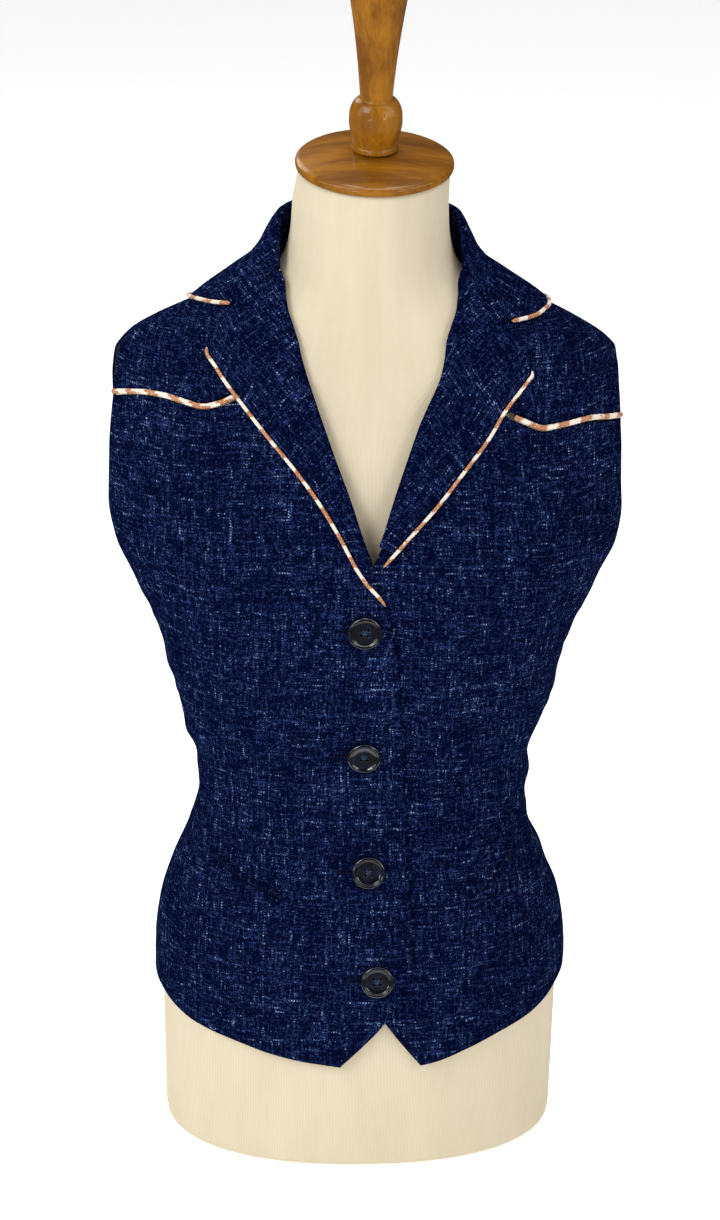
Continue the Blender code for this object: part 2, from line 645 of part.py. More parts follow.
def make_collar(material):
    left = collar_half(LEFT, 15)
    right = collar_half(RIGHT, 15) * np.array([-1, 1, 1])
    left[0] = left[0]
    middle = (left[-1] + right[-1]) / 2
    left[-1] = middle
    grid = np.concatenate([right, left[:-1][::-1]])
    return thick_sheet("collar", grid, COLLAR_CLOTH, material)


def make_collar_cord(material):
    halves = []
    for table, side in ((RIGHT, -1), (LEFT, 1)):
        end = run(table["collar_end"], 5, side)[1:]
        edge = run(table["collar_edge"], 18, side)
        line = shift(np.concatenate([end, edge[1:]]), -side * (EDGE_CORD + CORD_GAP + 0.2))
        halves.append(lift(line[:, 0], line[:, 1], np.full(len(line), 2.2)))
    whole = np.concatenate([halves[0], halves[1][:-1][::-1]])
    return cord("collar_piping", whole, EDGE_CORD, material)


def yoke_cord(name, table, side, material):
    line = run(table["yoke_shown"], COLUMNS_SHOWN, side)[:-1]
    return cord(name, lift(line[:, 0], line[:, 1], np.full(len(line), 0.6)), YOKE_CORD, material)


def make_welt(name, table, side, material):
    line = run(table["welt"], 8, side)
    upper = shift(line, -side * -1.7)
    lower = shift(line, side * -1.7)
    grid = np.stack([upper, lower])
    flat = np.zeros(grid.shape[:2])
    return sheet(name, lift(grid[..., 0], grid[..., 1], flat + 1.6), lift(grid[..., 0], grid[..., 1], flat + 0.4), material)


def angle_at(x, height):
    angles = np.linspace(-20, 20, 401)
    return float(np.interp(x, skin(angles, np.full(401, height))[:, 0], angles))


def make_button(name, x, height, material):
    """Dished button with a raised rim and four holes, its back flat, built as stacked rings round the holes."""
    angle = angle_at(x, height)
    centre = lift(angle, height, 0.55)
    axis = outward(angle, height)
    aside = np.cross(np.array([0.0, 0.0, 1.0]), axis)
    aside /= np.linalg.norm(aside)
    upright = np.cross(axis, aside)
    shape = bmesh.new()
    steps = 20
    profile = ((10.2, 0.0), (BUTTON_RADIUS, 1.2), (BUTTON_RADIUS, 3.0), (10.7, 4.0), (9.4, 4.1), (8.0, 2.6), (5.4, 2.2))
    rings = []
    for radius, rise in profile:
        rings.append([shape.verts.new((radius * math.cos(2 * math.pi * k / steps), radius * math.sin(2 * math.pi * k / steps),
                                       rise)) for k in range(steps)])
    for low, high in zip(rings, rings[1:]):
        for k in range(steps):
            n = (k + 1) % steps
            shape.faces.new((low[k], low[n], high[n], high[k]))
    hole_steps = 6
    holes = []
    for index in range(4):
        turn = math.pi / 4 + index * math.pi / 2
        cx = BUTTON_HOLE_REACH * math.cos(turn)
        cy = BUTTON_HOLE_REACH * math.sin(turn)
        ring_low = []
        ring_high = []
        for k in range(hole_steps):
            a = 2 * math.pi * k / hole_steps
            hx = cx + BUTTON_HOLE * math.cos(a)
            hy = cy + BUTTON_HOLE * math.sin(a)
            ring_low.append(shape.verts.new((hx, hy, 0.0)))
            ring_high.append(shape.verts.new((hx, hy, 2.2)))
        for k in range(hole_steps):
            n = (k + 1) % hole_steps
            shape.faces.new((ring_low[k], ring_high[k], ring_high[n], ring_low[n]))
        holes.append((ring_low, ring_high))
    for level, outer_ring in ((0, rings[0]), (1, rings[-1])):
        edges = [shape.edges.get((outer_ring[k], outer_ring[(k + 1) % steps])) for k in range(steps)]
        for pair in holes:
            ring = pair[level]
            edges += [shape.edges.get((ring[k], ring[(k + 1) % hole_steps])) for k in range(hole_steps)]
        bmesh.ops.triangle_fill(shape, use_beauty=True, use_dissolve=False, edges=edges)
    mesh = bpy.data.meshes.new(name)
    for vertex in shape.verts:
        x0, y0, z0 = vertex.co
        vertex.co = tuple(float(v) * MM for v in centre + aside * x0 + upright * y0 + axis * z0)
    bmesh.ops.recalc_face_normals(shape, faces=shape.faces)
    if shape.calc_volume(signed=True) < 0:
        bmesh.ops.reverse_faces(shape, faces=shape.faces)
    shape.to_mesh(mesh)
    shape.free()
    mesh.materials.append(material)
    solid = bpy.data.objects.new(name, mesh)
    vest.objects.link(solid)
    return solid


def make_form(material):
    """Limbless torso: the body surface drawn in, two bust lobes, a flat underside and a flat leaning neck."""
    steps = 30
    foot = ((0, 13.0), (1.2, 9.0), (4, 6.8), (10, 6.0))
    heights = [z for z, _ in foot] + [55, 105, 150, 190, 225, 258, 292, 330, 362, 390, 416, 442, 468, 498, 530,
                                      556, 573, 587, 599, 609, 618, 627, 638, 655, 675, 693]
    rings = []
    for z in heights:
        angles = np.arange(steps) * 360.0 / steps
        away = np.abs(np.where(angles > 180, 360 - angles, angles) - 90)
        arm = 9.0 * np.exp(-(away / 24) ** 2) * math.exp(-((z - 490) / 62) ** 2)
        inset = FORM_INSET + (smooth(foot, 1, z) - FORM_INSET if z < 10 else 0) - 2.9 * float(soft_step((z - 545) / 30))
        inset += 2.9 * float(soft_step((z - 604) / 30))
        ring = lift(angles, np.full(steps, float(z)), -(inset + arm), bridged=False)
        ring[:, 2] = np.where(z < 12, z, ring[:, 2])
        ring[:, 1] -= 5.0 * float(soft_step((z - 640) / 60))
        if z == heights[-1]:
            c = math.cos(math.radians(NECK_LEAN))
            s = math.sin(math.radians(NECK_LEAN))
            flat = [(50.0 * math.sin(math.radians(a)), -50.0 * math.cos(math.radians(a))) for a in angles]
            ring = np.array([(x + NECK_TOP[0], y * c + NECK_TOP[1], y * s + NECK_TOP[2] - RIM) for x, y in flat])
        rings.append(ring)
    vertices = [(0.0, 0.0, 0.0)] + [tuple(p) for ring in rings for p in ring] + [(NECK_TOP[0], NECK_TOP[1], NECK_TOP[2] - RIM)]
    faces = []
    top = len(vertices) - 1
    for k in range(steps):
        n = (k + 1) % steps
        faces.append((0, 1 + k, 1 + n))
        faces.append((top, 1 + (len(rings) - 1) * steps + n, 1 + (len(rings) - 1) * steps + k))
        for i in range(len(rings) - 1):
            a = 1 + i * steps
            faces.append((a + k, a + steps + k, a + steps + n, a + n))
    return add_solid("form_torso", vertices, faces, material)


for old in list(bpy.data.objects):
    bpy.data.objects.remove(old, do_unlink=True)
vest = bpy.data.collections.new("western_vest")
bpy.context.scene.collection.children.link(vest)

navy = (0.028, 0.045, 0.11)
cream = (0.62, 0.42, 0.24)

make_form(make_material("form_jersey", (0.78, 0.73, 0.62), 0.85))
turned("neck_cap", CAP_PROFILE, NECK_TOP, NECK_LEAN, make_material("cap_wood", (0.42, 0.20, 0.07), 0.35), 24)
lean_rad = math.radians(NECK_LEAN)
above = CAP_RISE + RIM
finial_base = (NECK_TOP[0], NECK_TOP[1] - math.sin(lean_rad) * above, NECK_TOP[2] + math.cos(lean_rad) * above)
turned("finial", FINIAL_PROFILE, finial_base, NECK_LEAN, make_material("finial_wood", (0.42, 0.20, 0.07), 0.35), 16)
make_back(make_material("back_cloth", navy, 0.8))
for word, table, side in (("right", RIGHT, -1), ("left", LEFT, 1)):
    make_front("front_" + word, table, side, make_material("front_" + word + "_cloth", navy, 0.8))
    make_yoke("yoke_" + word, table, side, make_material("yoke_" + word + "_cloth", navy, 0.8))
    make_lapel("lapel_" + word, table, side, make_material("lapel_" + word + "_cloth", navy, 0.8))
    lapel_cord("lapel_piping_" + word, table, side, make_material("lapel_piping_" + word + "_cloth", cream, 0.6))
    yoke_cord("yoke_piping_" + word, table, side, make_material("yoke_piping_" + word + "_cloth", cream, 0.6))
    make_welt("welt_" + word, table, side, make_material("welt_" + word + "_cloth", navy, 0.8))
make_collar(make_material("collar_cloth", navy, 0.8))
make_collar_cord(make_material("collar_piping_cloth", cream, 0.6))
for number, (x, height) in enumerate(BUTTONS, 1):
    make_button("button_%d" % number, x, height, make_material("button_%d_resin" % number, (0.01, 0.012, 0.03), 0.2))
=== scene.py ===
# %% [markdown]
# # A western vest on its dress form
#
# The real object is a short, fitted vest of slub denim: two fronts that lap at four buttons, two pointed front
# yokes, a plain back, a collar and two lapels. A thin piping in a two-colour blotched print is sewn into the yoke
# seams and round the edges of lapels and collar. It stands on a padded torso form with a turned wooden top.
#
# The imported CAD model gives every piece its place. This lesson makes each cloth piece again as a fine shell on
# the same lines, adds folds, sewing and finishes, and puts it in place of the plain solid.

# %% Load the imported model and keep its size
import json
import math

import bmesh
import bpy
import numpy as np
from mathutils import Matrix, Vector

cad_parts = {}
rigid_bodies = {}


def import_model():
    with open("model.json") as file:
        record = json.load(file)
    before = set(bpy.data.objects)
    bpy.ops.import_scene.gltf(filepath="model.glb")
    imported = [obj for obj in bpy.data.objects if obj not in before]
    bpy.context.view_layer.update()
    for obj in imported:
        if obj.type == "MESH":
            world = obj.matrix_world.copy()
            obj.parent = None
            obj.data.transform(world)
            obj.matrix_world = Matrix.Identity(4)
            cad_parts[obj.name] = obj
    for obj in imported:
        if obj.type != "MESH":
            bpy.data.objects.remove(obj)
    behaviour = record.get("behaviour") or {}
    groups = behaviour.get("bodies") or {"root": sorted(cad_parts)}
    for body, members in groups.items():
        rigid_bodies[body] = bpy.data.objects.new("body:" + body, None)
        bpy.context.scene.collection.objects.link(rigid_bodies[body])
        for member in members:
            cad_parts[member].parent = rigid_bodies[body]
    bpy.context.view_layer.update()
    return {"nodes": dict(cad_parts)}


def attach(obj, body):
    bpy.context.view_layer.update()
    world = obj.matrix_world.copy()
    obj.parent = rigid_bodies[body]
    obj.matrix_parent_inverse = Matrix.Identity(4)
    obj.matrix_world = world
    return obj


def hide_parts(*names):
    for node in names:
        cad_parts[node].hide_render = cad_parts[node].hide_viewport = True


for old in list(bpy.data.objects):
    bpy.data.objects.remove(old, do_unlink=True)
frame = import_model()
MM = 0.001

# %% [markdown]
# ## Camera
#
# The photograph was taken from a little above the vest, with a long lens. A lens of about 94 mm on a 36 mm
# sensor, two metres away and pitched 20 degrees down, gives the same flattened sides and the same view on to the
# hem. The camera is built from three directions, which is clearer than three rotations.

# %% Camera
IMAGE_HEIGHT = 1220
FOCAL_PIXELS = 3200.0
SENSOR = 36.0
PITCH, YAW, ROLL = (math.radians(a) for a in (20.0, 3.0, 0.8))
CAMERA_AWAY, CAMERA_HEIGHT, CAMERA_ASIDE = 2087.0, 1143.6, -3.0

lens = bpy.data.cameras.new("photo_camera")
lens.sensor_width = SENSOR
lens.lens = FOCAL_PIXELS * SENSOR / IMAGE_HEIGHT
camera = bpy.data.objects.new("photo_camera", lens)
bpy.context.scene.collection.objects.link(camera)
forward = Vector((math.sin(YAW) * math.cos(PITCH), math.cos(YAW) * math.cos(PITCH), -math.sin(PITCH)))
level = Vector((math.cos(YAW), -math.sin(YAW), 0.0))
above = level.cross(forward)
right = level * math.cos(ROLL) + above * math.sin(ROLL)
up = above * math.cos(ROLL) - level * math.sin(ROLL)
stand = Vector((-CAMERA_AWAY * math.sin(YAW) + CAMERA_ASIDE, -CAMERA_AWAY * math.cos(YAW), CAMERA_HEIGHT)) * MM
camera.matrix_world = Matrix.Translation(stand) @ Matrix((right, up, -forward)).transposed().to_4x4()
bpy.context.scene.camera = camera
print("lens", round(lens.lens, 2), "mm")

# %% [markdown]
# ## Floor and soft light
#
# A white studio with large soft lamps: one from the upper left as the key, one from the right as the fill, one
# overhead, one from behind, and two small low ones that draw fine highlights on the button rims. A pale floor runs
# far back, so it also serves as the backdrop. A white room would lie as a grey veil over black resin and varnish,
# and a photographer keeps it out with black flags. Here Light Path does that: room and floor are darker for glossy
# rays, except for a white table round the form and a band of light at the sides, which draw rings on the buttons.
# The node helpers come first, because the finishes of the vest use them too.

# %% Node helpers
def add(tree, kind, inputs=None, **settings):
    """One shader node; an input is a value or another node's output."""
    node = tree.nodes.new("ShaderNode" + kind)
    for key, value in settings.items():
        setattr(node, key, value)
    for key, value in (inputs or {}).items():
        if isinstance(value, bpy.types.NodeSocket):
            tree.links.new(value, node.inputs[key])
        else:
            node.inputs[key].default_value = value
    return node


def calc(tree, operation, a, b=0.0, c=0.0):
    return add(tree, "Math", {0: a, 1: b, 2: c}, operation=operation).outputs[0]


def speckle(tree, place, scale, detail=2.0, rough=0.6):
    """Noise stretched by a scale for each direction, in features for a metre."""
    stretched = add(tree, "VectorMath", {0: place, 1: scale}, operation="MULTIPLY").outputs[0]
    return add(tree, "TexNoise", {"Vector": stretched, "Scale": 1.0, "Detail": detail, "Roughness": rough}).outputs[0]


def band(tree, value, low, high):
    """0 below one value and 1 above the other, with a soft step between them."""
    return add(tree, "MapRange", {0: value, 1: low, 2: high}, interpolation_type="SMOOTHSTEP").outputs[0]


def blend(tree, share, a, b):
    return add(tree, "Mix", {0: share, 6: a, 7: b}, data_type="RGBA").outputs[2]


def wave_of(tree, place, pace):
    """A wave between 0 and 1 along a place, in radians for each unit of it."""
    turned = place if pace == 1.0 else calc(tree, "MULTIPLY", place, pace)
    return calc(tree, "MULTIPLY_ADD", calc(tree, "SINE", turned), 0.5, 0.5)


# %% Floor and sky
FLAG_EDGE = 0.08  # how softly a flag begins


def flagged(tree, socket, bright, dark, kept, low, high, kept_value):
    """A value bright for all rays but glossy ones, which see it dark, but where kept lies between two values."""
    below = band(tree, kept, low, low + FLAG_EDGE)
    above = calc(tree, "SUBTRACT", 1.0, band(tree, kept, high - FLAG_EDGE, high))
    glossy = calc(tree, "MULTIPLY_ADD", calc(tree, "MULTIPLY", below, above), kept_value - dark, dark)
    rays = add(tree, "LightPath").outputs["Is Glossy Ray"]
    tree.links.new(add(tree, "MapRange", {0: rays, 3: bright, 4: glossy}).outputs[0], socket)


floor_mesh = bpy.data.meshes.new("floor")
floor_mesh.from_pydata([(-30, -30, 0), (30, -30, 0), (30, 30, 0), (-30, 30, 0)], [], [(0, 1, 2, 3)])
floor = bpy.data.objects.new("floor", floor_mesh)
bpy.context.scene.collection.objects.link(floor)
paper = bpy.data.materials.new("floor_paper")
paper.use_nodes = True
tree, shader = paper.node_tree, paper.node_tree.nodes["Principled BSDF"]
shader.inputs["Roughness"].default_value = 0.9
shader.inputs["Emission Color"].default_value = (1, 1, 1, 1)
from_form = add(tree, "VectorMath", {0: add(tree, "TexCoord").outputs["Object"]}, operation="LENGTH").outputs["Value"]
flagged(tree, shader.inputs["Base Color"], 0.93, 0.10, from_form, -0.1, 0.36, 0.9)
flagged(tree, shader.inputs["Emission Strength"], 0.46, 0.02, from_form, -0.1, 0.36, 0.8)
floor_mesh.materials.append(paper)

studio = bpy.data.worlds.new("studio")
studio.use_nodes = True
tree, sky = studio.node_tree, studio.node_tree.nodes["Background"]
sky.inputs["Color"].default_value = (1, 1, 1, 1)
direction = add(tree, "SeparateXYZ", {0: add(tree, "TexCoord").outputs["Generated"]}).outputs
flagged(tree, sky.inputs["Strength"], 0.46, 0.06, calc(tree, "MULTIPLY", direction["Y"], -1.0), 0.02, 0.42, 3.0)
bpy.context.scene.world = studio
bpy.context.scene.view_settings.view_transform = "Standard"

# %% Square lamps that face the chest of the form
for name, place, size, power in (
        ("key", (-1.9, -1.7, 2.2), 1.5, 62), ("fill", (1.9, -1.6, 1.3), 1.4, 15),
        ("top", (0.1, 0.3, 2.6), 1.0, 20), ("back", (-1.2, 2.1, 2.3), 1.2, 20),
        ("low_left", (-1.1, -2.0, 0.25), 0.4, 5), ("low_right", (1.3, -1.9, 0.45), 0.4, 4)):
    light = bpy.data.lights.new(name + "_lamp", "AREA")
    light.size, light.energy = size, power
    lamp = bpy.data.objects.new(name + "_lamp", light)
    bpy.context.scene.collection.objects.link(lamp)
    lamp.location = place
    lamp.rotation_euler = (Vector((0, 0, 0.42)) - Vector(place)).to_track_quat("-Z", "Y").to_euler()

# %% [markdown]
# ## The body surface
#
# All cloth lies on one surface. A point on it has an angle round the body, 0 at the centre front and positive
# towards the wearer's left, and a height in millimetres. Level slices give the girth, the depth in front and
# behind and how square each slice is, and the bust is added on top. Because every panel is cut from this one
# surface, neighbouring panels meet at their seams by themselves.

# %% Slices of the body
SECTIONS = (  # height, half width, front depth, back depth, squareness
    (0, 145.5, 103, 101, 2.25),
    (60, 146.5, 105, 104, 2.25),
    (100, 147.0, 105, 105, 2.25),
    (140, 146.5, 103, 102, 2.25),
    (165, 143.5, 100, 98, 2.25),
    (195, 134.5, 95, 91, 2.25),
    (225, 122.5, 90, 83, 2.25),
    (255, 115.0, 87, 78, 2.25),
    (280, 116.0, 87, 78, 2.25),
    (317, 127.0, 91, 83, 2.3),
    (347, 134.0, 96, 90, 2.35),
    (375, 142.0, 99, 95, 2.4),
    (400, 150.5, 101, 99, 2.4),
    (425, 163.0, 102, 101, 2.4),
    (450, 175.0, 101, 102, 2.4),
    (480, 181.5, 97, 101, 2.35),
    (515, 182.0, 88, 97, 2.3),
    (545, 179.5, 77, 88, 2.25),
    (565, 173.5, 68, 80, 2.2),
    (580, 161.5, 61, 74, 2.15),
    (592, 143.0, 57, 69, 2.1),
    (606, 114.6, 55, 64, 2.05),
    (618, 89.0, 54, 61, 2.0),
    (628, 71.5, 54, 59, 2.0),
    (640, 62.5, 55, 58, 2.0),
    (660, 58.5, 56, 57, 2.0),
    (710, 57.0, 57, 57, 2.0),
)
BUST_HEIGHT, BUST_ABOVE, BUST_BELOW = 420.0, 62.0, 70.0
BUST_SIDE, BUST_SPREAD, BUST_RISE = 38.0, 26.0, 22.0
BUST_DIP, DIP_SPREAD = 0.12, 23.0


# %% Smooth lines through a few points
def ease(xs, ys, at):
    """Value at each place of a smooth line that never overshoots its points."""
    step = np.diff(xs)
    rise = np.diff(ys) / step
    slope = np.zeros_like(ys)
    first = 2 * step[1:] + step[:-1]
    second = step[1:] + 2 * step[:-1]
    for i in range(1, len(xs) - 1):
        if rise[i - 1] * rise[i] > 0:
            slope[i] = (first[i - 1] + second[i - 1]) / (first[i - 1] / rise[i - 1] + second[i - 1] / rise[i])
    slope[0], slope[-1] = rise[0], rise[-1]
    at = np.clip(np.asarray(at, float), xs[0], xs[-1])
    i = np.clip(np.searchsorted(xs, at, side="right") - 1, 0, len(xs) - 2)
    t = (at - xs[i]) / step[i]
    start = (2 * t ** 3 - 3 * t ** 2 + 1) * ys[i] + (t ** 3 - 2 * t ** 2 + t) * step[i] * slope[i]
    end = (3 * t ** 2 - 2 * t ** 3) * ys[i + 1] + (t ** 3 - t ** 2) * step[i] * slope[i + 1]
    return start + end


def smooth(table, column, at):
    """One column of a table read against its first column."""
    rows = np.array(table, float)
    return ease(rows[:, 0], rows[:, column], at)


def soft_step(value):
    value = np.clip(value, 0, 1)
    return value * value * (3 - 2 * value)


# %% The surface and its outward direction
def bust(angle, height, bridged):
    """Forward rise of the bust: cloth bridges between the two lobes, the form shows both."""
    away = np.minimum(np.abs(angle), 360 - np.abs(angle))
    level = np.exp(-((height - BUST_HEIGHT) / np.where(height > BUST_HEIGHT, BUST_ABOVE, BUST_BELOW)) ** 2)
    lobe = np.exp(-((away - BUST_SIDE) / BUST_SPREAD) ** 2)
    shelf = np.where(away < BUST_SIDE, 1.0, lobe) * (1 - BUST_DIP * np.exp(-(away / DIP_SPREAD) ** 2))
    return BUST_RISE * level * (shelf if bridged else lobe)


def skin(angle, height, bridged=True):
    """Point of the body surface in millimetres."""
    angle, height = np.asarray(angle, float), np.asarray(height, float)
    half_width, front, back, square = (smooth(SECTIONS, column, height) for column in (1, 2, 3, 4))
    across, along = np.sin(np.radians(angle)), np.cos(np.radians(angle))
    size = (np.abs(across) ** square + np.abs(along) ** square) ** (1 / square)
    depth = np.where(along > 0, front, back)
    y = -depth * along / size - bust(angle, height, bridged) * np.sqrt(np.clip(along, 0, 1))
    return np.stack([half_width * across / size, y, height + 0 * y], -1)


def slopes(angle, height, bridged=True):
    """Millimetres of surface for a degree round the body and for a millimetre of height."""
    turn = (skin(angle + 0.05, height, bridged) - skin(angle - 0.05, height, bridged)) / 0.1
    climb = (skin(angle, height + 0.25, bridged) - skin(angle, height - 0.25, bridged)) / 0.5
    return turn, climb


def outward(angle, height, bridged=True):
    normal = np.cross(*slopes(angle, height, bridged))
    return normal / np.linalg.norm(normal, axis=-1, keepdims=True)


# %% [markdown]
# ## Folds
#
# A worn vest is never smooth: it drags from the side seams towards the waist, breaks softly under the bust and
# at the shoulder, pulls a little at each button, and ripples along the hem. Cloth simulation would find folds of
# its own, in other places, so each fold is laid one by one as a soft ridge or trough that fades at both ends. The
# large ones are in the CAD solids too, and the fine ones are added here, also on the back.

# %% Large folds, as in the CAD solids, and fine ones
LARGE_FOLDS = (  # start angle and height, end angle and height, half width, rise
    (54, 602, 47, 520, 9, 1.9), (-58, 598, -50, 512, 10, 1.6), (66, 596, 58, 552, 8, 1.3),
    (92, 330, 46, 352, 10, 1.8), (64, 302, 124, 290, 10, -2.8), (112, 258, 42, 286, 9, 2.3), (84, 250, 44, 240, 9, 1.6),
    (60, 232, 122, 222, 12, -2.7), (76, 212, 50, 194, 9, 1.3), (58, 198, 122, 194, 13, -2.0),
    (-92, 345, -50, 372, 10, 1.9), (-116, 284, -42, 320, 9, 2.8), (-92, 280, -46, 262, 9, 1.7),
    (-88, 250, -52, 222, 10, 1.5), (-120, 582, -54, 589, 17, 2.2),
    (34, 388, 31, 322, 11, -1.5), (-35, 392, -33, 318, 12, -1.6),
    (80, 398, 52, 432, 9, 1.5), (-80, 396, -54, 440, 10, 1.5), (146, 318, 206, 308, 11, 2.0),
    (158, 284, 222, 290, 10, 1.9), (140, 262, 196, 256, 11, 1.7), (104, 330, 134, 352, 10, 1.6),
    (256, 322, 228, 350, 10, 1.7), (128, 410, 142, 520, 12, 1.5), (232, 402, 220, 508, 12, 1.6),
    (58, 108, 56, 176, 12, 1.7), (-62, 104, -60, 182, 13, 1.8), (118, 110, 120, 190, 13, 1.9),
    (150, 108, 152, 176, 12, 1.6), (212, 110, 209, 186, 13, 1.8), (246, 116, 243, 180, 12, 1.7),
)
FINE_FOLDS = (
    # wearer's right front
    (-66, 470, -50, 440, 5, 0.7), (-64, 504, -54, 466, 6, -0.6), (-84, 386, -60, 402, 5, 0.8),
    (-86, 366, -58, 380, 4, -0.7), (-88, 330, -64, 342, 4, 0.8), (-86, 296, -56, 300, 4, -0.7),
    (-88, 266, -58, 256, 4, 0.8), (-42, 348, -19, 328, 6, 0.5), (-34, 320, -15, 314, 4, 0.5),
    (-36, 233, -16, 227, 4, 0.5), (-34, 162, -14, 150, 5, 0.5), (-32, 404, -17, 412, 5, 0.5),
    (-46, 252, -26, 240, 6, -0.5), (-52, 184, -34, 190, 6, 0.6), (-40, 98, -39, 140, 8, 0.9),
    (-24, 90, -25, 120, 7, -0.6), (-75, 112, -73, 152, 8, 0.9), (-52, 416, -40, 352, 7, 0.6),
    # wearer's left front
    (65, 476, 53, 446, 5, 0.7), (62, 508, 51, 474, 6, -0.6), (84, 392, 60, 406, 5, 0.8),
    (86, 366, 60, 374, 4, -0.7), (88, 322, 62, 328, 4, 0.8), (86, 282, 58, 276, 4, -0.8),
    (88, 250, 60, 236, 4, 0.9), (9, 404, 28, 396, 5, 0.5), (10, 300, 30, 292, 5, 0.5),
    (12, 222, 32, 214, 5, 0.6), (38, 252, 20, 264, 6, -0.5), (40, 100, 39, 146, 8, 0.9),
    (25, 92, 27, 126, 7, -0.6), (76, 120, 75, 158, 8, 0.9), (50, 420, 42, 350, 7, 0.6), (46, 186, 30, 178, 6, 0.6),
    # yokes
    (62, 600, 54, 566, 6, 0.6), (-65, 602, -56, 566, 6, 0.6),
    (76, 590, 67, 560, 5, -0.5), (-77, 592, -69, 564, 5, -0.5),
    # back
    (118, 352, 152, 338, 6, 0.8), (241, 354, 210, 340, 6, 0.8), (168, 331, 194, 326, 5, -0.7),
    (128, 298, 162, 306, 5, 0.8), (228, 304, 198, 297, 5, -0.7), (170, 566, 176, 470, 9, 0.7),
    (196, 560, 190, 482, 9, 0.6), (150, 592, 126, 560, 6, 0.7), (212, 590, 234, 560, 6, 0.7),
    (136, 241, 162, 232, 6, 0.7), (224, 238, 198, 229, 6, 0.7), (134, 108, 135, 150, 9, 0.8),
    (180, 106, 181, 150, 9, -0.7), (229, 110, 226, 154, 9, 0.8), (102, 250, 122, 262, 5, 0.8),
    (258, 256, 238, 268, 5, 0.8), (104, 284, 126, 282, 5, -0.6), (256, 290, 232, 292, 5, -0.6),
    (112, 452, 130, 440, 6, 0.6), (248, 456, 228, 440, 6, 0.6),
)
ARMPIT = 402  # height where side seam and armhole meet
SEAM_SINK, SEAM_PUCKER = 0.45, 0.22
FADE = 0.35  # share of a fold's length over which it fades at either end


def fold_rise(angle, height):
    """Rise of all folds, of a slight slackness and of the sunk, puckered side seams."""
    angle, height = np.broadcast_arrays(np.asarray(angle, float) % 360, np.asarray(height, float))
    total = 0.2 * np.sin(0.19 * angle + 0.061 * height) * np.sin(0.043 * height - 0.11 * angle)
    for start_angle, start, end_angle, end, half_width, rise in LARGE_FOLDS + FINE_FOLDS:
        girth = float(smooth(SECTIONS, 1, (start + end) / 2)) * math.pi / 200
        away = ((angle - start_angle + 180) % 360 - 180) * girth
        run_across, run_up = (end_angle - start_angle) * girth, end - start
        length = math.hypot(run_across, run_up)
        along = (away * run_across + (height - start) * run_up) / length ** 2
        aside = (away * run_up - (height - start) * run_across) / length
        fade = soft_step(along / FADE) * soft_step((1 - along) / FADE)
        total = total + rise * fade * np.exp(-(aside / half_width) ** 2)
    seam = np.minimum(np.abs(angle - 90), np.abs(angle - 270)) * 2.2
    low = height < ARMPIT + 2
    total = total - low * SEAM_SINK * np.exp(-(seam / 2.4) ** 2)
    return total + low * SEAM_PUCKER * np.exp(-(seam / 5) ** 2) * np.sin(height * 0.55 + 1.4 * np.sin(height * 0.07))


def lift(angle, height, rise, bridged=True):
    """Point at a rise above the surface. The folds belong to the cloth, so the bare form has none."""
    rise = np.asarray(rise, float)
    if bridged:
        rise = rise + fold_rise(angle, height)
    return skin(angle, height, bridged) + outward(angle, height, bridged) * rise[..., None]


def on_cloth(line, rise):
    """A line of angles and heights as points at one rise above the surface."""
    return lift(line[:, 0], line[:, 1], np.full(len(line), rise))


print(len(LARGE_FOLDS), "large folds and", len(FINE_FOLDS), "fine ones")

# %% [markdown]
# ## Seam lines and panels
#
# A maker draws a panel by its edges. Here too: a panel is four boundary lines, each run smoothly through a few
# points, and the inside is filled from them. A seam line is moved sideways by half its gap, so two panels
# leave room for each other and for the piping between them.

# %% Lines on the surface
def lengths(points):
    """Way along a line of points to each of them."""
    return np.concatenate([[0], np.cumsum(np.linalg.norm(np.diff(points, axis=0), axis=-1))])


def run(points, count, side=1.0):
    """A line through (angle, height) points, sampled closer where its points are closer."""
    points = np.array(points, float)
    points[:, 0] *= side
    length = lengths(skin(points[:, 0], points[:, 1]))
    place = length / length[-1] + np.arange(len(points)) / (len(points) - 1)
    at = np.linspace(0, place[-1], count)
    return np.stack([ease(place, points[:, 0], at), ease(place, points[:, 1], at)], -1)


def finer(line, times):
    """The same line with more points between each two."""
    line = np.asarray(line, float)
    at = np.linspace(0, len(line) - 1, (len(line) - 1) * times + 1)
    places = np.arange(len(line), dtype=float)
    return np.stack([ease(places, line[:, k], at) for k in range(line.shape[1])], -1)


def join(*lines):
    """Lines that meet end to end as one."""
    return np.concatenate([lines[0]] + [line[1:] for line in lines[1:]])


def shift(line, distance):
    """The line moved sideways over the surface, to its left as seen from outside."""
    angle, height = line[:, 0], line[:, 1]
    ahead = np.gradient(skin(angle, height), axis=0)
    aside = np.cross(outward(angle, height), ahead)
    aside = aside / np.linalg.norm(aside, axis=-1, keepdims=True) * np.broadcast_to(distance, angle.shape)[:, None]
    turn, climb = slopes(angle, height)
    tt, tc, cc = (turn * turn).sum(-1), (turn * climb).sum(-1), (climb * climb).sum(-1)
    ta, ca = (turn * aside).sum(-1), (climb * aside).sum(-1)
    return line + np.stack([ta * cc - ca * tc, ca * tt - ta * tc], -1) / (tt * cc - tc * tc)[:, None]


def patch(bottom, top, left, right):
    """Four boundary lines filled smoothly. Rows run from bottom to top."""
    u = np.linspace(0, 1, len(bottom))[None, :, None]
    v = np.linspace(0, 1, len(left))[:, None, None]
    lines = (1 - v) * bottom[None] + v * top[None] + (1 - u) * left[:, None] + u * right[:, None]
    return lines - ((1 - u) * (1 - v) * bottom[0] + u * (1 - v) * bottom[-1] + (1 - u) * v * top[0] + u * v * top[-1])


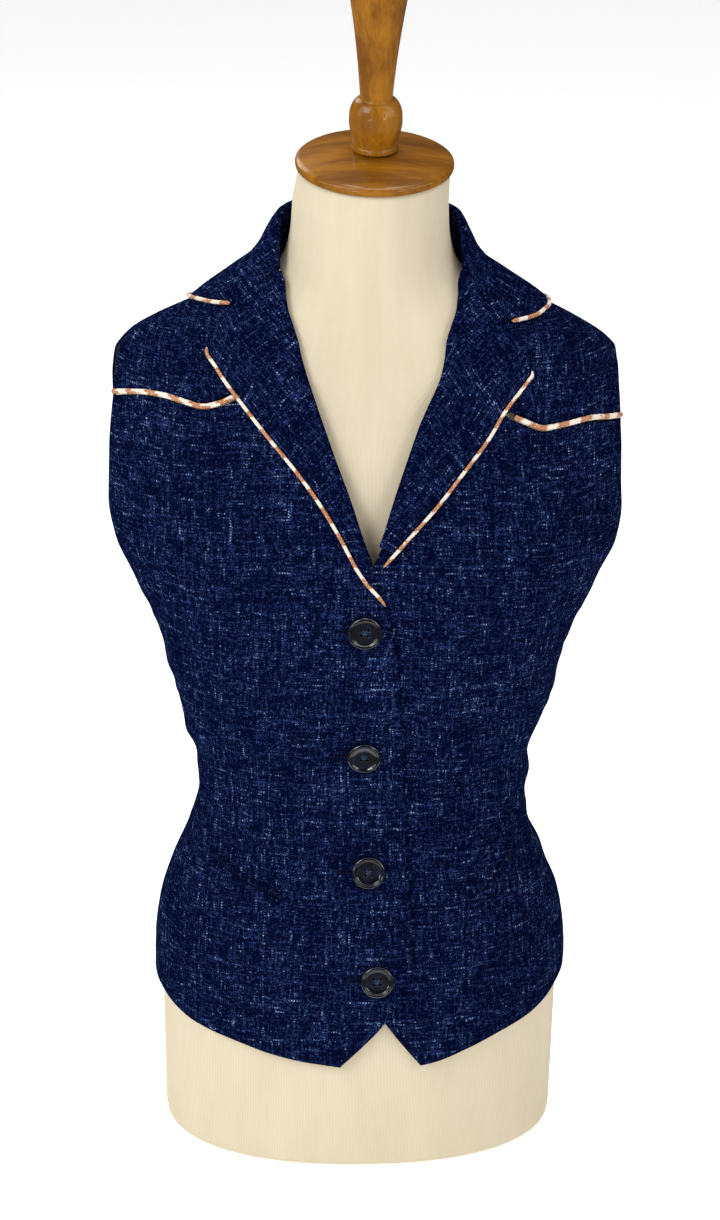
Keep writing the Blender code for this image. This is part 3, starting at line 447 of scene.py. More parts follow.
# %% [markdown]
# ## Flat places for the weave
#
# Warp and weft must keep their direction and size over the whole panel. Each point of the cloth therefore gets a
# flat place in metres, kept in a UV map named "weave": how far round the body it is, and how far up, both
# measured along the surface. Lapels and collar get their own flat places, because they are cut on another grain.

# %% Distances along the surface
ARC_STEP, RISE_STEP = 2.0, 6.0
arc_angles, arc_heights = np.arange(-180, 362, ARC_STEP), np.arange(0, 712, RISE_STEP)
net = skin(*np.meshgrid(arc_angles, arc_heights))
arc_round = np.concatenate([np.zeros((len(net), 1)), np.cumsum(np.linalg.norm(np.diff(net, axis=1), axis=-1), 1)], 1)
arc_round -= arc_round[:, [int(180 / ARC_STEP)]]
arc_up = np.concatenate([np.zeros((1, net.shape[1])), np.cumsum(np.linalg.norm(np.diff(net, axis=0), axis=-1), 0)])


def flat_place(angle, height):
    """Where a point of the surface lies in the flat cloth, in metres."""
    row = np.clip(np.asarray(height, float) / RISE_STEP, 0, len(arc_heights) - 1.001)
    column = np.clip((np.asarray(angle, float) + 180) / ARC_STEP, 0, len(arc_angles) - 1.001)
    i, j = row.astype(int), column.astype(int)
    s, t = row - i, column - j
    return np.stack([(1 - s) * ((1 - t) * a[i, j] + t * a[i, j + 1]) + s * ((1 - t) * a[i + 1, j] + t * a[i + 1, j + 1])
                     for a in (arc_round, arc_up)], -1) * MM


def laid_flat(points):
    """Flat places of a strip from its own rows and columns: across from the last column, up along it."""
    across = np.linalg.norm(np.diff(points, axis=1), axis=-1)
    across = -np.concatenate([np.cumsum(across[:, ::-1], 1)[:, ::-1], np.zeros((len(points), 1))], 1)
    return np.stack([across, lengths(points[:, -1])[:, None] + 0 * across], -1) * MM


# %% [markdown]
# ## Cloth with rolled edges
#
# Denim is about 1.8 mm thick when it is turned in at an edge. A Solidify modifier would give a square rim. A
# shell built from an outer and an inner face, with a half-round rim between them, catches the light along every
# edge as a pressed hem does, so all cloth pieces come from the same helper.

# %% Shell builder
RIM_STEPS = 4


def as_piece(name, mesh):
    """The mesh as a visible object that goes with the part."""
    piece = bpy.data.objects.new(name, mesh)
    bpy.context.scene.collection.objects.link(piece)
    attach(piece, "root")
    return piece


def add_mesh(name, vertices, faces, uv=None, uv_name="weave", slots=None):
    """A smooth-shaded piece from points in millimetres."""
    mesh = bpy.data.meshes.new(name)
    mesh.from_pydata((np.asarray(vertices, float) * MM).tolist(), [], faces)
    if uv is not None:
        layer = mesh.uv_layers.new(name=uv_name)
        corner = np.zeros(len(mesh.loops), int)
        mesh.loops.foreach_get("vertex_index", corner)
        layer.data.foreach_set("uv", np.asarray(uv, float)[corner].ravel())
    mesh.polygons.foreach_set("use_smooth", [True] * len(mesh.polygons))
    if slots is not None:
        mesh.polygons.foreach_set("material_index", slots)
    return as_piece(name, mesh)


def shell(name, outer, inner, flat):
    """Cloth between two grids of points, its rim a half round. Slot 0 is the face, slot 1 the inside."""
    rows, columns = outer.shape[:2]
    rim = [(0, j) for j in range(columns)] + [(i, columns - 1) for i in range(1, rows)]
    rim += [(rows - 1, j) for j in range(columns - 2, -1, -1)] + [(i, 0) for i in range(rows - 2, 0, -1)]
    ri, rj = np.array(rim).T
    ni, nj = np.clip(ri, 1, rows - 2), np.clip(rj, 1, columns - 2)
    top, under = outer[ri, rj].copy(), inner[ri, rj].copy()
    normal = top - under
    half = np.linalg.norm(normal, axis=-1, keepdims=True) / 2
    normal /= 2 * half
    ahead = np.roll(top, -1, 0) - np.roll(top, 1, 0)
    away = top - outer[ni, nj]
    away -= normal * (away * normal).sum(-1, keepdims=True)
    straight = away - ahead * (away * ahead).sum(-1, keepdims=True) / (ahead * ahead).sum(-1, keepdims=True)
    corner = ((ri != ni) & (rj != nj))[:, None]
    away = np.where(corner, away, straight)
    away /= np.linalg.norm(away, axis=-1, keepdims=True)
    centre = (top + under) / 2 - away * half
    outer, inner = outer.copy(), inner.copy()
    outer[ri, rj] = centre + normal * half
    inner[ri, rj] = centre - normal * half
    rings = [centre + half * (normal * math.cos(a) + away * math.sin(a))
             for a in (math.pi * k / RIM_STEPS for k in range(1, RIM_STEPS))]
    vertices = np.concatenate([outer.reshape(-1, 3), inner.reshape(-1, 3)] + rings)
    uv = np.concatenate([flat.reshape(-1, 2)] * 2 + [flat[ri, rj]] * len(rings))
    size, loop = rows * columns, len(rim)
    i, j = np.meshgrid(np.arange(rows - 1), np.arange(columns - 1), indexing="ij")
    a = (i * columns + j).ravel()
    face_out = np.stack([a, a + 1, a + columns + 1, a + columns], -1)
    face_in = size + face_out[:, ::-1]
    here = ri * columns + rj
    levels = [here] + [2 * size + k * loop + np.arange(loop) for k in range(len(rings))] + [size + here]
    bands = [np.stack([low, high, np.roll(high, -1), np.roll(low, -1)], -1) for low, high in zip(levels, levels[1:])]
    faces = np.concatenate([face_out] + bands + [face_in])
    along, across = outer[1, 0] - outer[0, 0], outer[0, 1] - outer[0, 0]
    if np.cross(across, along) @ (outer[0, 0] - inner[0, 0]) < 0:
        faces = faces[:, ::-1]
    print(name, len(faces) * 2, "triangles")
    return add_mesh(name, vertices, faces.tolist(), uv, slots=[0] * (len(faces) - len(face_in)) + [1] * len(face_in))


def grid_area(points):
    """Area of a grid in square metres, which is the flat area of its cloth."""
    a, b = points[1:, 1:] - points[:-1, :-1], points[1:, :-1] - points[:-1, 1:]
    return float(np.linalg.norm(np.cross(a, b), axis=-1).sum() / 2 * MM * MM)


# %% [markdown]
# ## Fronts, yokes and back
#
# The boundary tables hold the vest's cut. The wearer's right front laps over the left one, so the left one
# passes a little below the surface under the lap. The two sides differ slightly, as they do on the real vest.

# %% Cut of the two sides
CLOTH, LAPEL_CLOTH, COLLAR_CLOTH = 1.8, 1.4, 1.6
SEAM, YOKE_CORD, EDGE_CORD, CORD_GAP = 0.15, 1.8, 1.25, 0.35
OVERLAP_DIP, FOLD_BACK, FORM_INSET = 2.6, 1.95, 6.0
RIGHT = {
    "edge": ((7, 83), (0.2, 101), (-4.8, 116), (-8.8, 135), (-12, 149.5), (-12.8, 171), (-12.6, 197), (-13.2, 226),
             (-13, 262), (-10, 316), (-8.8, 341.5), (-7.3, 370), (-5.5, 402), (-3.2, 424)),
    "roll": ((-3.2, 424), (-0.5, 450), (2.2, 472), (4.8, 496), (7.8, 520), (10.8, 544.5), (14.5, 570)),
    "neck": ((14.5, 570), (19.8, 592), (36, 615), (51, 625), (64.5, 629.5), (78, 630), (90, 630)),
    "yoke_shown": ((70.2, 549.3), (60, 552.6), (52.8, 554), (48.4, 553.8), (43.4, 552), (37.3, 549.4), (32.8, 552.4),
                   (30, 556.6)),
    "yoke_under": ((30, 556.6), (22, 564.6), (14.5, 570)),
    "hem": ((90, 115.5), (73, 112.5), (61, 106.5), (53, 102.5), (45, 99.5), (35, 95.5), (26.3, 90.5), (17.8, 86.5),
            (11, 84.5), (7, 83)),
    "armhole": ((90, 402), (85, 403.8), (80.6, 410), (77, 422), (74.2, 438), (71.4, 462), (70.2, 495), (69.5, 530),
                (70.2, 549.3)),
    "shoulder_end": ((70.2, 549.3), (71.7, 556.5), (75, 565), (81, 573), (90, 577)),
    "lapel_edge": ((4.2, 453.5), (8.5, 478), (12.3, 496), (16.7, 513.5), (22.6, 533.5), (28.8, 553), (37, 573),
                   (41.6, 580.5), (43.8, 585.5)),
    "lapel_end": ((43.8, 585.5), (45.4, 592), (51.5, 602), (57.5, 610.5)),
    "lapel_start": 453.5,
    "cord_start": ((-2.2, 430), (-0.4, 436.5), (1.9, 443.5), (3.2, 449)),
    "gorge": ((64.5, 632), (61.5, 622), (57.5, 610.5)),
    "collar_end": ((57.5, 610.5), (68, 608.5), (80, 607)),
    "collar_puff": 0.8,
    "collar_edge": ((80, 607), (90, 605.5), (104, 603), (125, 600), (150, 599), (180, 599)),
    "welt": ((53.8, 223.5), (27, 207)),
}
LEFT = {
    "edge": ((15, 83), (9.2, 102), (5, 116), (1.2, 128), (-3, 141), (-7, 156), (-9.5, 175), (-11, 200), (-13.5, 235),
             (-14.5, 262), (-13.5, 300), (-12, 341), (-9.5, 385), (-7, 412), (-5, 424)),
    "roll": ((-5, 424), (-2.2, 447), (1.2, 469), (4.2, 496), (7, 520), (10.2, 544.5), (14.3, 566)),
    "neck": ((14.3, 566), (19.8, 592), (36, 615), (51, 625), (64.5, 629.5), (78, 630), (90, 630)),
    "yoke_shown": ((65.5, 535.5), (58, 537), (50.8, 538.5), (42.8, 536.8), (37.5, 535.7), (32.8, 540.4), (30.2, 544)),
    "yoke_under": ((30.2, 544), (23, 554.5), (14.3, 566)),
    "hem": ((90, 122), (78, 121), (68, 118), (58.2, 112), (50.3, 106.5), (38.5, 100), (29, 92.5), (20.2, 85.5),
            (15, 83)),
    "armhole": ((90, 402), (84.5, 404), (79.5, 411), (75.2, 423), (71.6, 439), (67.2, 465), (65, 494), (64.8, 525),
                (65.5, 535.5)),
    "shoulder_end": ((65.5, 535.5), (67.2, 551), (73, 566), (80.5, 573.5), (90, 577)),
    "lapel_edge": ((4.6, 462), (9.5, 478), (13.5, 491), (18.8, 510.5), (24.5, 531), (28.5, 547), (34.8, 563),
                   (36.9, 567.5), (37.6, 572)),
    "lapel_end": ((37.6, 572), (38.7, 581), (42, 594), (44.2, 601.5)),
    "lapel_start": 467.5,
    "cord_start": ((2.2, 454.5), (3.2, 457.5)),
    "gorge": ((64.5, 632), (54.8, 617.5), (44.2, 601.5)),
    "collar_end": ((44.2, 601.5), (57, 602), (72, 603.5)),
    "collar_puff": 0.6,
    "collar_edge": ((72, 603.5), (90, 604), (104, 602.5), (125, 600), (150, 599), (180, 599)),
    "welt": ((52, 224.5), (34.5, 206)),
}
SIDES = (("right", RIGHT, -1), ("left", LEFT, 1))
BACK_NECK = ((90, 630), (130, 631), (180, 632))
BACK_ARMHOLE = ((90, 402), (95.5, 403.6), (100.5, 409), (105, 420), (109, 440), (112, 480), (111.5, 515), (108, 545),
                (101.5, 566), (90, 577))
SHOULDER = ((90, 577), (90, 630))
BACK_HEM = ((90, 115.5), (130, 109), (180, 106), (230, 110), (270, 122))

# %% Front panels
FINE = 6  # points for each step of a boundary line
LOW, HIGH, SHOWN, UNDER = 25, 8, 11, 4  # steps below and above the armpit or the roll line, and along the yoke seam
LAP_TOP, LAP_END = 424.0, 455.0
LAP_EDGE, LAP_SLOPE, LAP_FADE = 3.0, 16.0, 30.0  # past the edge, how wide the dip runs out, and how high


def front_edge_x(height):
    """How far to the side the right front's edge lies."""
    line = np.array(RIGHT["edge"], float)
    return skin(ease(line[:, 1], -line[:, 0], height), height)[..., 0]


def left_dip(angle, height):
    """How far the left front passes below the surface under the lap."""
    beyond = skin(angle, height)[..., 0] - front_edge_x(np.minimum(height, LAP_TOP))
    lapped = (1 - soft_step((beyond - LAP_EDGE) / LAP_SLOPE)) * (1 - soft_step((height - LAP_END) / LAP_FADE))
    return -OVERLAP_DIP * lapped


def yoke_seam(table, side):
    """Seam between a front and its yoke, and how far each cloth stays back from it."""
    seam = join(run(table["yoke_shown"], SHOWN * FINE + 1, side), run(table["yoke_under"], UNDER * FINE + 1, side))
    back_off = np.interp(np.arange(len(seam)) / FINE, [SHOWN, SHOWN + 1], [YOKE_CORD + CORD_GAP, SEAM])
    return seam, back_off


def front_grid(table, side):
    """A front from the hem to the yoke seam, each line stopped at its own gap."""
    seam, back_off = yoke_seam(table, side)
    outer = join(run(((90, table["hem"][0][1]), (90, ARMPIT)), LOW * FINE + 1, side),
                 run(table["armhole"], HIGH * FINE + 1, side))
    inner = join(run(table["edge"], LOW * FINE + 1, side), run(table["roll"], HIGH * FINE + 1, side))
    hem = run(table["hem"], len(seam), side)
    seam = shift(seam, side * back_off)
    inner = shift(inner, -side * np.interp(np.arange(len(inner)) / FINE, [LOW, LOW + 1], [0, FOLD_BACK]))
    outer = shift(outer, side * np.where(outer[:, 1] < ARMPIT, SEAM, 0.0))
    outer[-1], hem[0], hem[-1] = seam[0], outer[0], inner[0]
    seam[-1] = inner[-1] = (inner[-1][0], inner[-1][1] - SEAM)
    return patch(hem, seam, outer, inner)


def cloth_piece(name, grid, rise=0.0, grain=0.0):
    """A panel from its grid of angles and heights, its straight grain running up the body at one angle."""
    angle, height = grid[..., 0], grid[..., 1]
    place = flat_place(angle, height)
    place[..., 0] -= flat_place(grain + 0 * angle, height)[..., 0]
    rise = rise + np.zeros(angle.shape)
    face = lift(angle, height, rise)
    areas[name] = grid_area(face)
    return shell(name, face, lift(angle, height, rise - CLOTH), place)


areas, made = {}, {}
for word, table, side in SIDES:
    grid = front_grid(table, side)
    dip = left_dip(grid[..., 0], grid[..., 1]) if side > 0 else 0.0
    made["front_" + word] = cloth_piece("front_%s_cloth" % word, grid, dip)

# %% Yokes
YOKE_ROWS = 11
NECK_GAP = 1.3  # room for the collar at the neck line


def opening(table, heights, side):
    """Front opening above the top button at these heights."""
    line = np.array(table["roll"] + table["neck"][1:5], float)
    return np.stack([side * ease(line[:, 1], line[:, 0], heights), heights], -1)


def yoke_grid(table, side):
    """A yoke from the piped seam to the shoulder seam."""
    seam, back_off = yoke_seam(table, side)
    bottom = shift(seam, -side * back_off)
    top = shift(run(SHOULDER, len(seam), side), side * SEAM)
    end = run(table["shoulder_end"], (YOKE_ROWS - 1) * FINE + 1, side)
    low = opening(table, np.linspace(table["roll"][-1][1], 615.0, YOKE_ROWS - 4), side)
    neck = finer(shift(np.concatenate([low, np.array(table["neck"][3:], float) * (side, 1)]), -side * FOLD_BACK), FINE)
    end[0], end[-1] = bottom[0], top[0]
    bottom[-1] = neck[0] = (neck[0][0], neck[0][1] + SEAM)
    neck[-1] = top[-1] = (top[-1][0], top[-1][1] - NECK_GAP)
    return patch(bottom, top, end, neck)


for word, table, side in SIDES:
    made["yoke_" + word] = cloth_piece("yoke_%s_cloth" % word, yoke_grid(table, side))


# %% Back
def mirrored(line):
    """The line on the other side of the body."""
    return np.stack([360 - line[:, 0], line[:, 1]], -1)


def back_grid():
    """The whole back: side seams, armholes and shoulders make its two sides."""
    side_rows, hole_rows, shoulder_rows, columns = (n * FINE + 1 for n in (17, 9, 6, 20))
    hem = run(BACK_HEM, columns)
    half = run(BACK_NECK, columns // 2 + 1)
    half[:, 1] -= NECK_GAP
    top = join(half, mirrored(half)[::-1])
    shoulder = shift(run(SHOULDER, shoulder_rows), -SEAM)
    shoulder[-1] = top[0] = (shoulder[-1][0], top[0][1])
    sides = []
    for low in (BACK_HEM[0][1], BACK_HEM[-1][1]):
        seam = run(((90, low), (90, ARMPIT)), side_rows)
        seam[:, 0] += 0.1
        hole = run(BACK_ARMHOLE, hole_rows)
        hole[0], hole[-1] = seam[-1], shoulder[0]
        sides.append(join(seam, hole, shoulder))
    near, far = sides[1], mirrored(sides[0])
    top[-1] = far[-1]
    hem = mirrored(hem)[::-1]
    hem[0], hem[-1] = near[0], far[0]
    return patch(hem, top, near, far)


made["back"] = cloth_piece("back_cloth", back_grid(), grain=180.0)

# %% [markdown]
# ## Lapels
#
# A lapel is the front's facing turned over at the roll line. It leaves the front edge, goes round it in a small
# tight curve and then lies on the front, so its section starts with that curve. Rows follow the roll line from
# the top button to the collar seam, and the last column is the outer edge, from which its weave is measured.

# %% Lapels
LAPEL_WRAP = ((0.75, -0.9), (0.6, 0.4), (1.05, 1.6), (2.0, 2.5), (3.6, 2.9))
LAPEL_ROWS, LAPEL_COLUMNS = 19, 6
EDGE_BACK = 2 * EDGE_CORD + 0.5  # how far the lapel's cloth stays back from its outline, for the cord
LAPEL_RISE, LAPEL_EDGE_RISE = 2.9, 2.0
GORGE_TOP = (62.5, 632.2)


def grid_normals(points):
    """Direction out of a grid at each of its points."""
    normal = np.cross(np.gradient(points, axis=1), np.gradient(points, axis=0))
    return normal / np.linalg.norm(normal, axis=-1, keepdims=True)


def lapel_grid(table, side):
    """Middle of a lapel's cloth: round the roll line first, then out over the front to its edge."""
    low = opening(table, np.linspace(table["lapel_start"], 612.0, LAPEL_ROWS - 4), side)
    high = np.array(((45, 622.3), (52, 626.8), (58, 630.0), GORGE_TOP)) * (side, 1)
    roll = finer(np.concatenate([low, high]), FINE)
    rows = len(roll)
    edge = shift(run(table["lapel_edge"], rows, side), side * EDGE_BACK)
    top = join(run((GORGE_TOP,) + table["gorge"][1:], 7, side), run(table["lapel_end"][::-1], 6, side))
    top = shift(top, -side * np.array([0.0] + [0.2] * 6 + [0.4] * 5))
    top[-1] = edge[-1]
    length = lengths(skin(top[:, 0], top[:, 1]))
    length /= length[-1]
    wrap = finer(LAPEL_WRAP, FINE)
    base, lift_way = skin(roll[:, 0], roll[:, 1]), outward(roll[:, 0], roll[:, 1])
    base = base + lift_way * fold_rise(roll[:, 0], roll[:, 1])[:, None]
    toward = np.cross(lift_way, np.gradient(base, axis=0)) * -side
    toward /= np.linalg.norm(toward, axis=-1, keepdims=True)
    width = np.linalg.norm(skin(edge[:, 0], edge[:, 1]) - base, axis=-1)
    climb = soft_step((np.linspace(0, 1, rows) - 0.7) / 0.3)
    turned = [base + toward * distance + lift_way * (rise + climb * soft_step(k / 4 / FINE))[:, None]
              for k, (distance, rise) in enumerate(wrap)]
    start = wrap[-1, 0] / width
    share = np.linspace(0, 1, rows)[:, None] ** 3
    laid = []
    for t in np.linspace(0, 1, LAPEL_COLUMNS * FINE + 1)[1:]:
        place = (start + (1 - start) * t)[:, None]
        bend = np.stack([np.interp(place[:, 0], length, top[:, k]) for k in (0, 1)], -1)
        spot = roll + (edge - roll) * place + (bend - roll[-1] - (edge[-1] - roll[-1]) * place) * share
        rise = LAPEL_RISE + (LAPEL_EDGE_RISE - LAPEL_RISE) * t + climb * (1 - t)
        laid.append(lift(spot[:, 0], spot[:, 1], rise))
    return np.stack(turned + laid, 1)


def thick_cloth(name, middle, thickness, flat):
    """Cloth with its thickness shared by both sides of a grid, its face away from the body's middle."""
    normal = grid_normals(middle)
    half = len(middle) // 2
    if normal[half, -3] @ (middle[half, -3] * (1, 1, 0)) < 0:
        normal = -normal
    areas[name] = grid_area(middle)
    return shell(name, middle + normal * thickness / 2, middle - normal * thickness / 2, flat)


for word, table, side in SIDES:
    middle = lapel_grid(table, side)
    made["lapel_" + word] = thick_cloth("lapel_%s_cloth" % word, middle, LAPEL_CLOTH, laid_flat(middle) * (-side, 1))

# %% [markdown]
# ## Collar
#
# The collar stands up round the neck, turns over at its fold and falls on to the shoulders. Its grid has one
# column of points for each station round the neck: up the stand, round the fold and down the fall. Near the
# front the columns bend towards the gorge seam and the collar's own end, which leaves the notch open.

# %% Collar
FOLD = ((63.2, 632.8, 0.5, 0.0), (70, 640, 1.6, 3.5), (78, 649, 1.4, 7.5), (90, 658.2, 1.2, 9.0), (104, 663, 1.0, 8.5),
        (129, 665, 0.6, 4.5), (180, 667, 0.4, 2.5))  # angle, height, lean of the stand, stand off of the fall
FOLD_RADIUS = 1.75
STAND_GAP, STAND_RISE, FALL_RISE, GORGE_RISE = 0.9, 0.2, 2.0, 0.9
STATIONS = (63.2, 65.8, 69, 73.5, 78, 84, 90, 97, 104, 114, 126, 140, 153, 166, 180)
COLLAR_FINE = 7


def collar_half(table):
    """Middle of the collar's cloth from the gorge to the centre back."""
    count = len(STATIONS)
    stations = ease(np.arange(count, dtype=float), np.array(STATIONS, float),
                    np.linspace(0, count - 1, (count - 1) * COLLAR_FINE + 1))
    edge = run(table["collar_edge"], len(stations))
    first = join(run((FOLD[0][:2],) + table["gorge"][1:], 5 * FINE + 1), run(table["collar_end"], 3 * FINE + 1))
    first[FINE:5 * FINE + 1] = shift(first, 0.2)[FINE:5 * FINE + 1]
    first_top = float(smooth(FOLD, 1, stations[0]))
    columns = []
    for angle, end, toward_gorge in zip(stations, edge, np.linspace(1, 0, len(stations))):
        neck = float(smooth(BACK_NECK if angle > 90 else RIGHT["neck"][3:], 1, angle))
        top, lean, off = (float(smooth(FOLD, k, angle)) for k in (1, 2, 3))
        off *= 1 + (table["collar_puff"] - 1) * float(soft_step((150 - angle) / 60))
        radius = min(FOLD_RADIUS, (top - neck) * 0.45)
        t = np.linspace(0, 1, 9)
        foot = neck + STAND_GAP
        stand = np.stack([angle + 0 * t, foot + (top - radius - foot) * t, STAND_RISE + lean * t], -1)
        a = np.radians(np.linspace(0, 180, 13)[1:-1])
        fold = np.stack([angle + 0 * a, top - radius + radius * np.sin(a),
                         STAND_RISE + lean + radius * (1 - np.cos(a))], -1)
        t = np.linspace(0, 1, len(first))
        straight = np.array([angle, top - radius]) * (1 - t[:, None]) + end * t[:, None]
        start_line = np.array([stations[0], first_top - 1.0]) * (1 - t[:, None]) + edge[0] * t[:, None]
        spot = straight + (first - start_line) * toward_gorge ** 3
        rise = (STAND_RISE + lean + 2 * radius) * (1 - t) + FALL_RISE * t
        rise += GORGE_RISE * (1 - toward_gorge ** 4) * np.sin(np.pi * t) + off * np.sin(np.pi * t ** 0.75)
        columns.append(np.concatenate([stand, fold, np.column_stack([spot, rise])]))
    columns = np.array(columns)
    return lift(columns[..., 0], columns[..., 1], columns[..., 2])


left_half = collar_half(LEFT)
right_half = collar_half(RIGHT) * (-1, 1, 1)
left_half[-1] = (left_half[-1] + right_half[-1]) / 2
middle = np.concatenate([right_half, left_half[:-1][::-1]])
made["collar"] = thick_cloth("collar_cloth", middle, COLLAR_CLOTH, laid_flat(middle))

# %% [markdown]
# ## Dress form
#
# The torso is the same surface drawn in a few millimetres, so the cloth rests just off it. Under the armholes it is
# drawn in more, its foot is rounded, and its neck leans a little forward and ends flat, where the wooden cap sits.

# %% Dress form
FORM_STEPS = 120
FOOT = ((0, 13.0), (1.2, 9.0), (4, 6.8), (10, FORM_INSET))  # height, how far the foot is drawn in
SHOULDER_EASE = 2.9  # the form comes nearer to the cloth at the shoulders
ARM_DIP, ARM_HEIGHT = 9.0, 490.0
NECK_LEAN, NECK_TOP, NECK_RADIUS, RIM = math.radians(10.8), np.array((2.3, -4.0, 697.0)), 50.0, 0.3


def wound(rows, sides):
    """Faces between rings of points, and fans to the two points after them, which close both ends."""
    k = np.arange(sides)
    n, tip = (k + 1) % sides, 0 * k + rows * sides
    quads = [np.stack([k, n, sides + n, sides + k], -1) + i * sides for i in range(rows - 1)]
    fans = [np.stack([tip, n, k], -1), np.stack([tip + 1, tip - sides + k, tip - sides + n], -1)]
    return np.concatenate(quads).tolist() + np.concatenate(fans).tolist()


def form_rings():
    """The surface drawn in, with two bust lobes, a flat underside and a flat leaning neck."""
    angle = np.arange(FORM_STEPS) * 360.0 / FORM_STEPS
    away = np.abs(np.where(angle > 180, 360 - angle, angle) - 90)
    rings = []
    for z in np.concatenate([[0, 0.4, 1.2, 2.4, 4, 6, 8], np.linspace(FOOT[-1][0], 675, 176)]):
        inset = float(smooth(FOOT, 1, z)) + SHOULDER_EASE * float(soft_step((z - 604) / 30) - soft_step((z - 545) / 30))
        inset = inset + ARM_DIP * np.exp(-(away / 24) ** 2) * math.exp(-((z - ARM_HEIGHT) / 62) ** 2)
        ring = lift(angle, np.full(FORM_STEPS, float(z)), -inset, bridged=False)
        if z < 12:
            ring[:, 2] = z
        ring[:, 1] -= 5.0 * float(soft_step((z - 640) / 60))
        rings.append(ring)
    a = np.radians(angle)
    top = leaning(NECK_RADIUS * np.sin(a), -NECK_RADIUS * np.cos(a), 0 * a) + NECK_TOP - (0, 0, RIM)
    return np.array(rings + [rings[-1] + (top - rings[-1]) * t for t in (0.25, 0.5, 0.75, 1.0)])


def leaning(x, y, z):
    """Points turned with the neck, which leans forward."""
    c, s = math.cos(NECK_LEAN), math.sin(NECK_LEAN)
    return np.stack([x, y * c - z * s, y * s + z * c], -1)


rings = form_rings()
points = np.concatenate([rings.reshape(-1, 3), [[0, 0, 0]], [NECK_TOP - (0, 0, RIM)]])
around = np.degrees(np.arctan2(points[:, 0], -points[:, 1]))
form = add_mesh("form_jersey_torso", points, wound(len(rings), FORM_STEPS),
                np.stack([around / 360, points[:, 2] * MM], -1), "ribs")
print("form", len(form.data.polygons) * 2, "triangles")

# %% [markdown]
# ## Piping
#
# Piping is a thin cord wrapped in a bias strip and caught in a seam. A bevelled curve would do for an even cord.
# A tube built from rings can also thin out where the strip runs into a seam, swell a little along its
# way as real wrapped cord does, and carry its length in a UV map, which the blotched print needs.

# %% Cords along a path
CORD_SIDES, CORD_STEP = 14, 0.9


def even(path, step):
    """A path with its points at even distances, its small corners rounded."""
    for _ in range(3):
        path = np.concatenate([path[:1], (path[:-2] + 2 * path[1:-1] + path[2:]) / 4, path[-1:]])
    length = lengths(path)
    at = np.linspace(0, length[-1], max(8, int(length[-1] / step)))
    return np.stack([np.interp(at, length, path[:, k]) for k in range(3)], -1), at


def tube(path, at, radius, sides=CORD_SIDES):
    """Rings of points round a path, and the faces between them, both ends closed."""
    ahead = np.gradient(path, axis=0)
    ahead /= np.linalg.norm(ahead, axis=-1, keepdims=True)
    aside = np.cross(ahead[0], (0, 0, 1.0) if abs(ahead[0, 2]) < 0.9 else (0, 1.0, 0))
    rings = []
    for point, way, size in zip(path, ahead, np.broadcast_to(radius, at.shape)):
        aside = aside - way * (aside @ way)
        aside /= np.linalg.norm(aside)
        turn = 2 * np.pi * np.arange(sides)[:, None] / sides
        rings.append(point + size * (aside * np.cos(turn) + np.cross(way, aside) * np.sin(turn)))
    points = np.concatenate([np.concatenate(rings), path[:1], path[-1:]])
    girth = np.arange(sides) * 2 * np.pi * np.max(radius) / sides
    uv = np.concatenate([np.stack([np.repeat(at, sides), np.tile(girth, len(at))], -1), [[at[0], 0], [at[-1], 0]]]) * MM
    return points, wound(len(path), sides), uv


def piping(name, path, radius, thin_start=0.0, thin_end=0.0):
    """A piping that thins out over a length at either end."""
    path, at = even(path, CORD_STEP)
    size = radius * (1 + 0.035 * np.sin(at * 0.9 + 2 * np.sin(at * 0.13)) + 0.02 * np.sin(at * 2.3))
    for reach, away in ((thin_start, at), (thin_end, at[-1] - at)):
        reach = max(reach, radius)
        size = size * np.sqrt(np.clip(1 - (1 - np.clip(away / reach, 0, 1)) ** 2, 0.02, 1))
    points, faces, uv = tube(path, at, size)
    return add_mesh(name, points, faces, uv)


# %% Pipings of lapels, yokes and collar
DENSE = 8  # points for each step of a cord's line
EDGE_CORD_RISE, YOKE_CORD_RISE, COLLAR_CORD_RISE, COLLAR_CORD = 1.8, 0.6, 2.2, 1.4
for word, table, side in SIDES:
    start = run(table["cord_start"], len(table["cord_start"]) * DENSE, side)
    line = np.concatenate([start, run(table["lapel_edge"], 24 * DENSE, side)])
    line = shift(line, side * EDGE_CORD)[:-DENSE // 2]
    path = on_cloth(line, EDGE_CORD_RISE)
    made["lapel_piping_" + word] = piping("lapel_piping_%s_cord" % word, path, EDGE_CORD, 9.0, 4.0)
    path = on_cloth(run(table["yoke_shown"], SHOWN * DENSE, side), YOKE_CORD_RISE)
    made["yoke_piping_" + word] = piping("yoke_piping_%s_cord" % word, path, YOKE_CORD)

halves = []
for _, table, side in SIDES:
    line = np.concatenate([run(table["collar_end"], 5 * DENSE, side)[DENSE // 2:],
                           run(table["collar_edge"], 18 * DENSE, side)[1:]])
    line = shift(line, -side * (EDGE_CORD + CORD_GAP + 0.2))
    halves.append(on_cloth(line, COLLAR_CORD_RISE))
whole = np.concatenate([halves[0], halves[1][:-1][::-1]])
made["collar_piping"] = piping("collar_piping_cord", whole, COLLAR_CORD, 3.0, 3.0)

# %% [markdown]
# ## Pockets
#
# Each pocket shows only as a slanting slit with a very narrow welt and a bar of stitches at both ends. The slit
# is a dark strip just over the front's cloth, painted shade of the pocket's opening, and the welt a small rolled
# shell below it.

# %% Threads and stitches in one mesh
THREAD = 0.24


def bundle(name, strands, sides=6):
    """Many short threads joined into one piece."""
    points, faces, uv, base = [], [], [], 0
    for path, radius in strands:
        path = np.asarray(path, float)
        p, f, u = tube(path, lengths(path), radius, sides)
        points.append(p)
        uv.append(u)
        faces += [tuple(k + base for k in face) for face in f]
        base += len(p)
    return add_mesh(name, np.concatenate(points), faces, np.concatenate(uv))


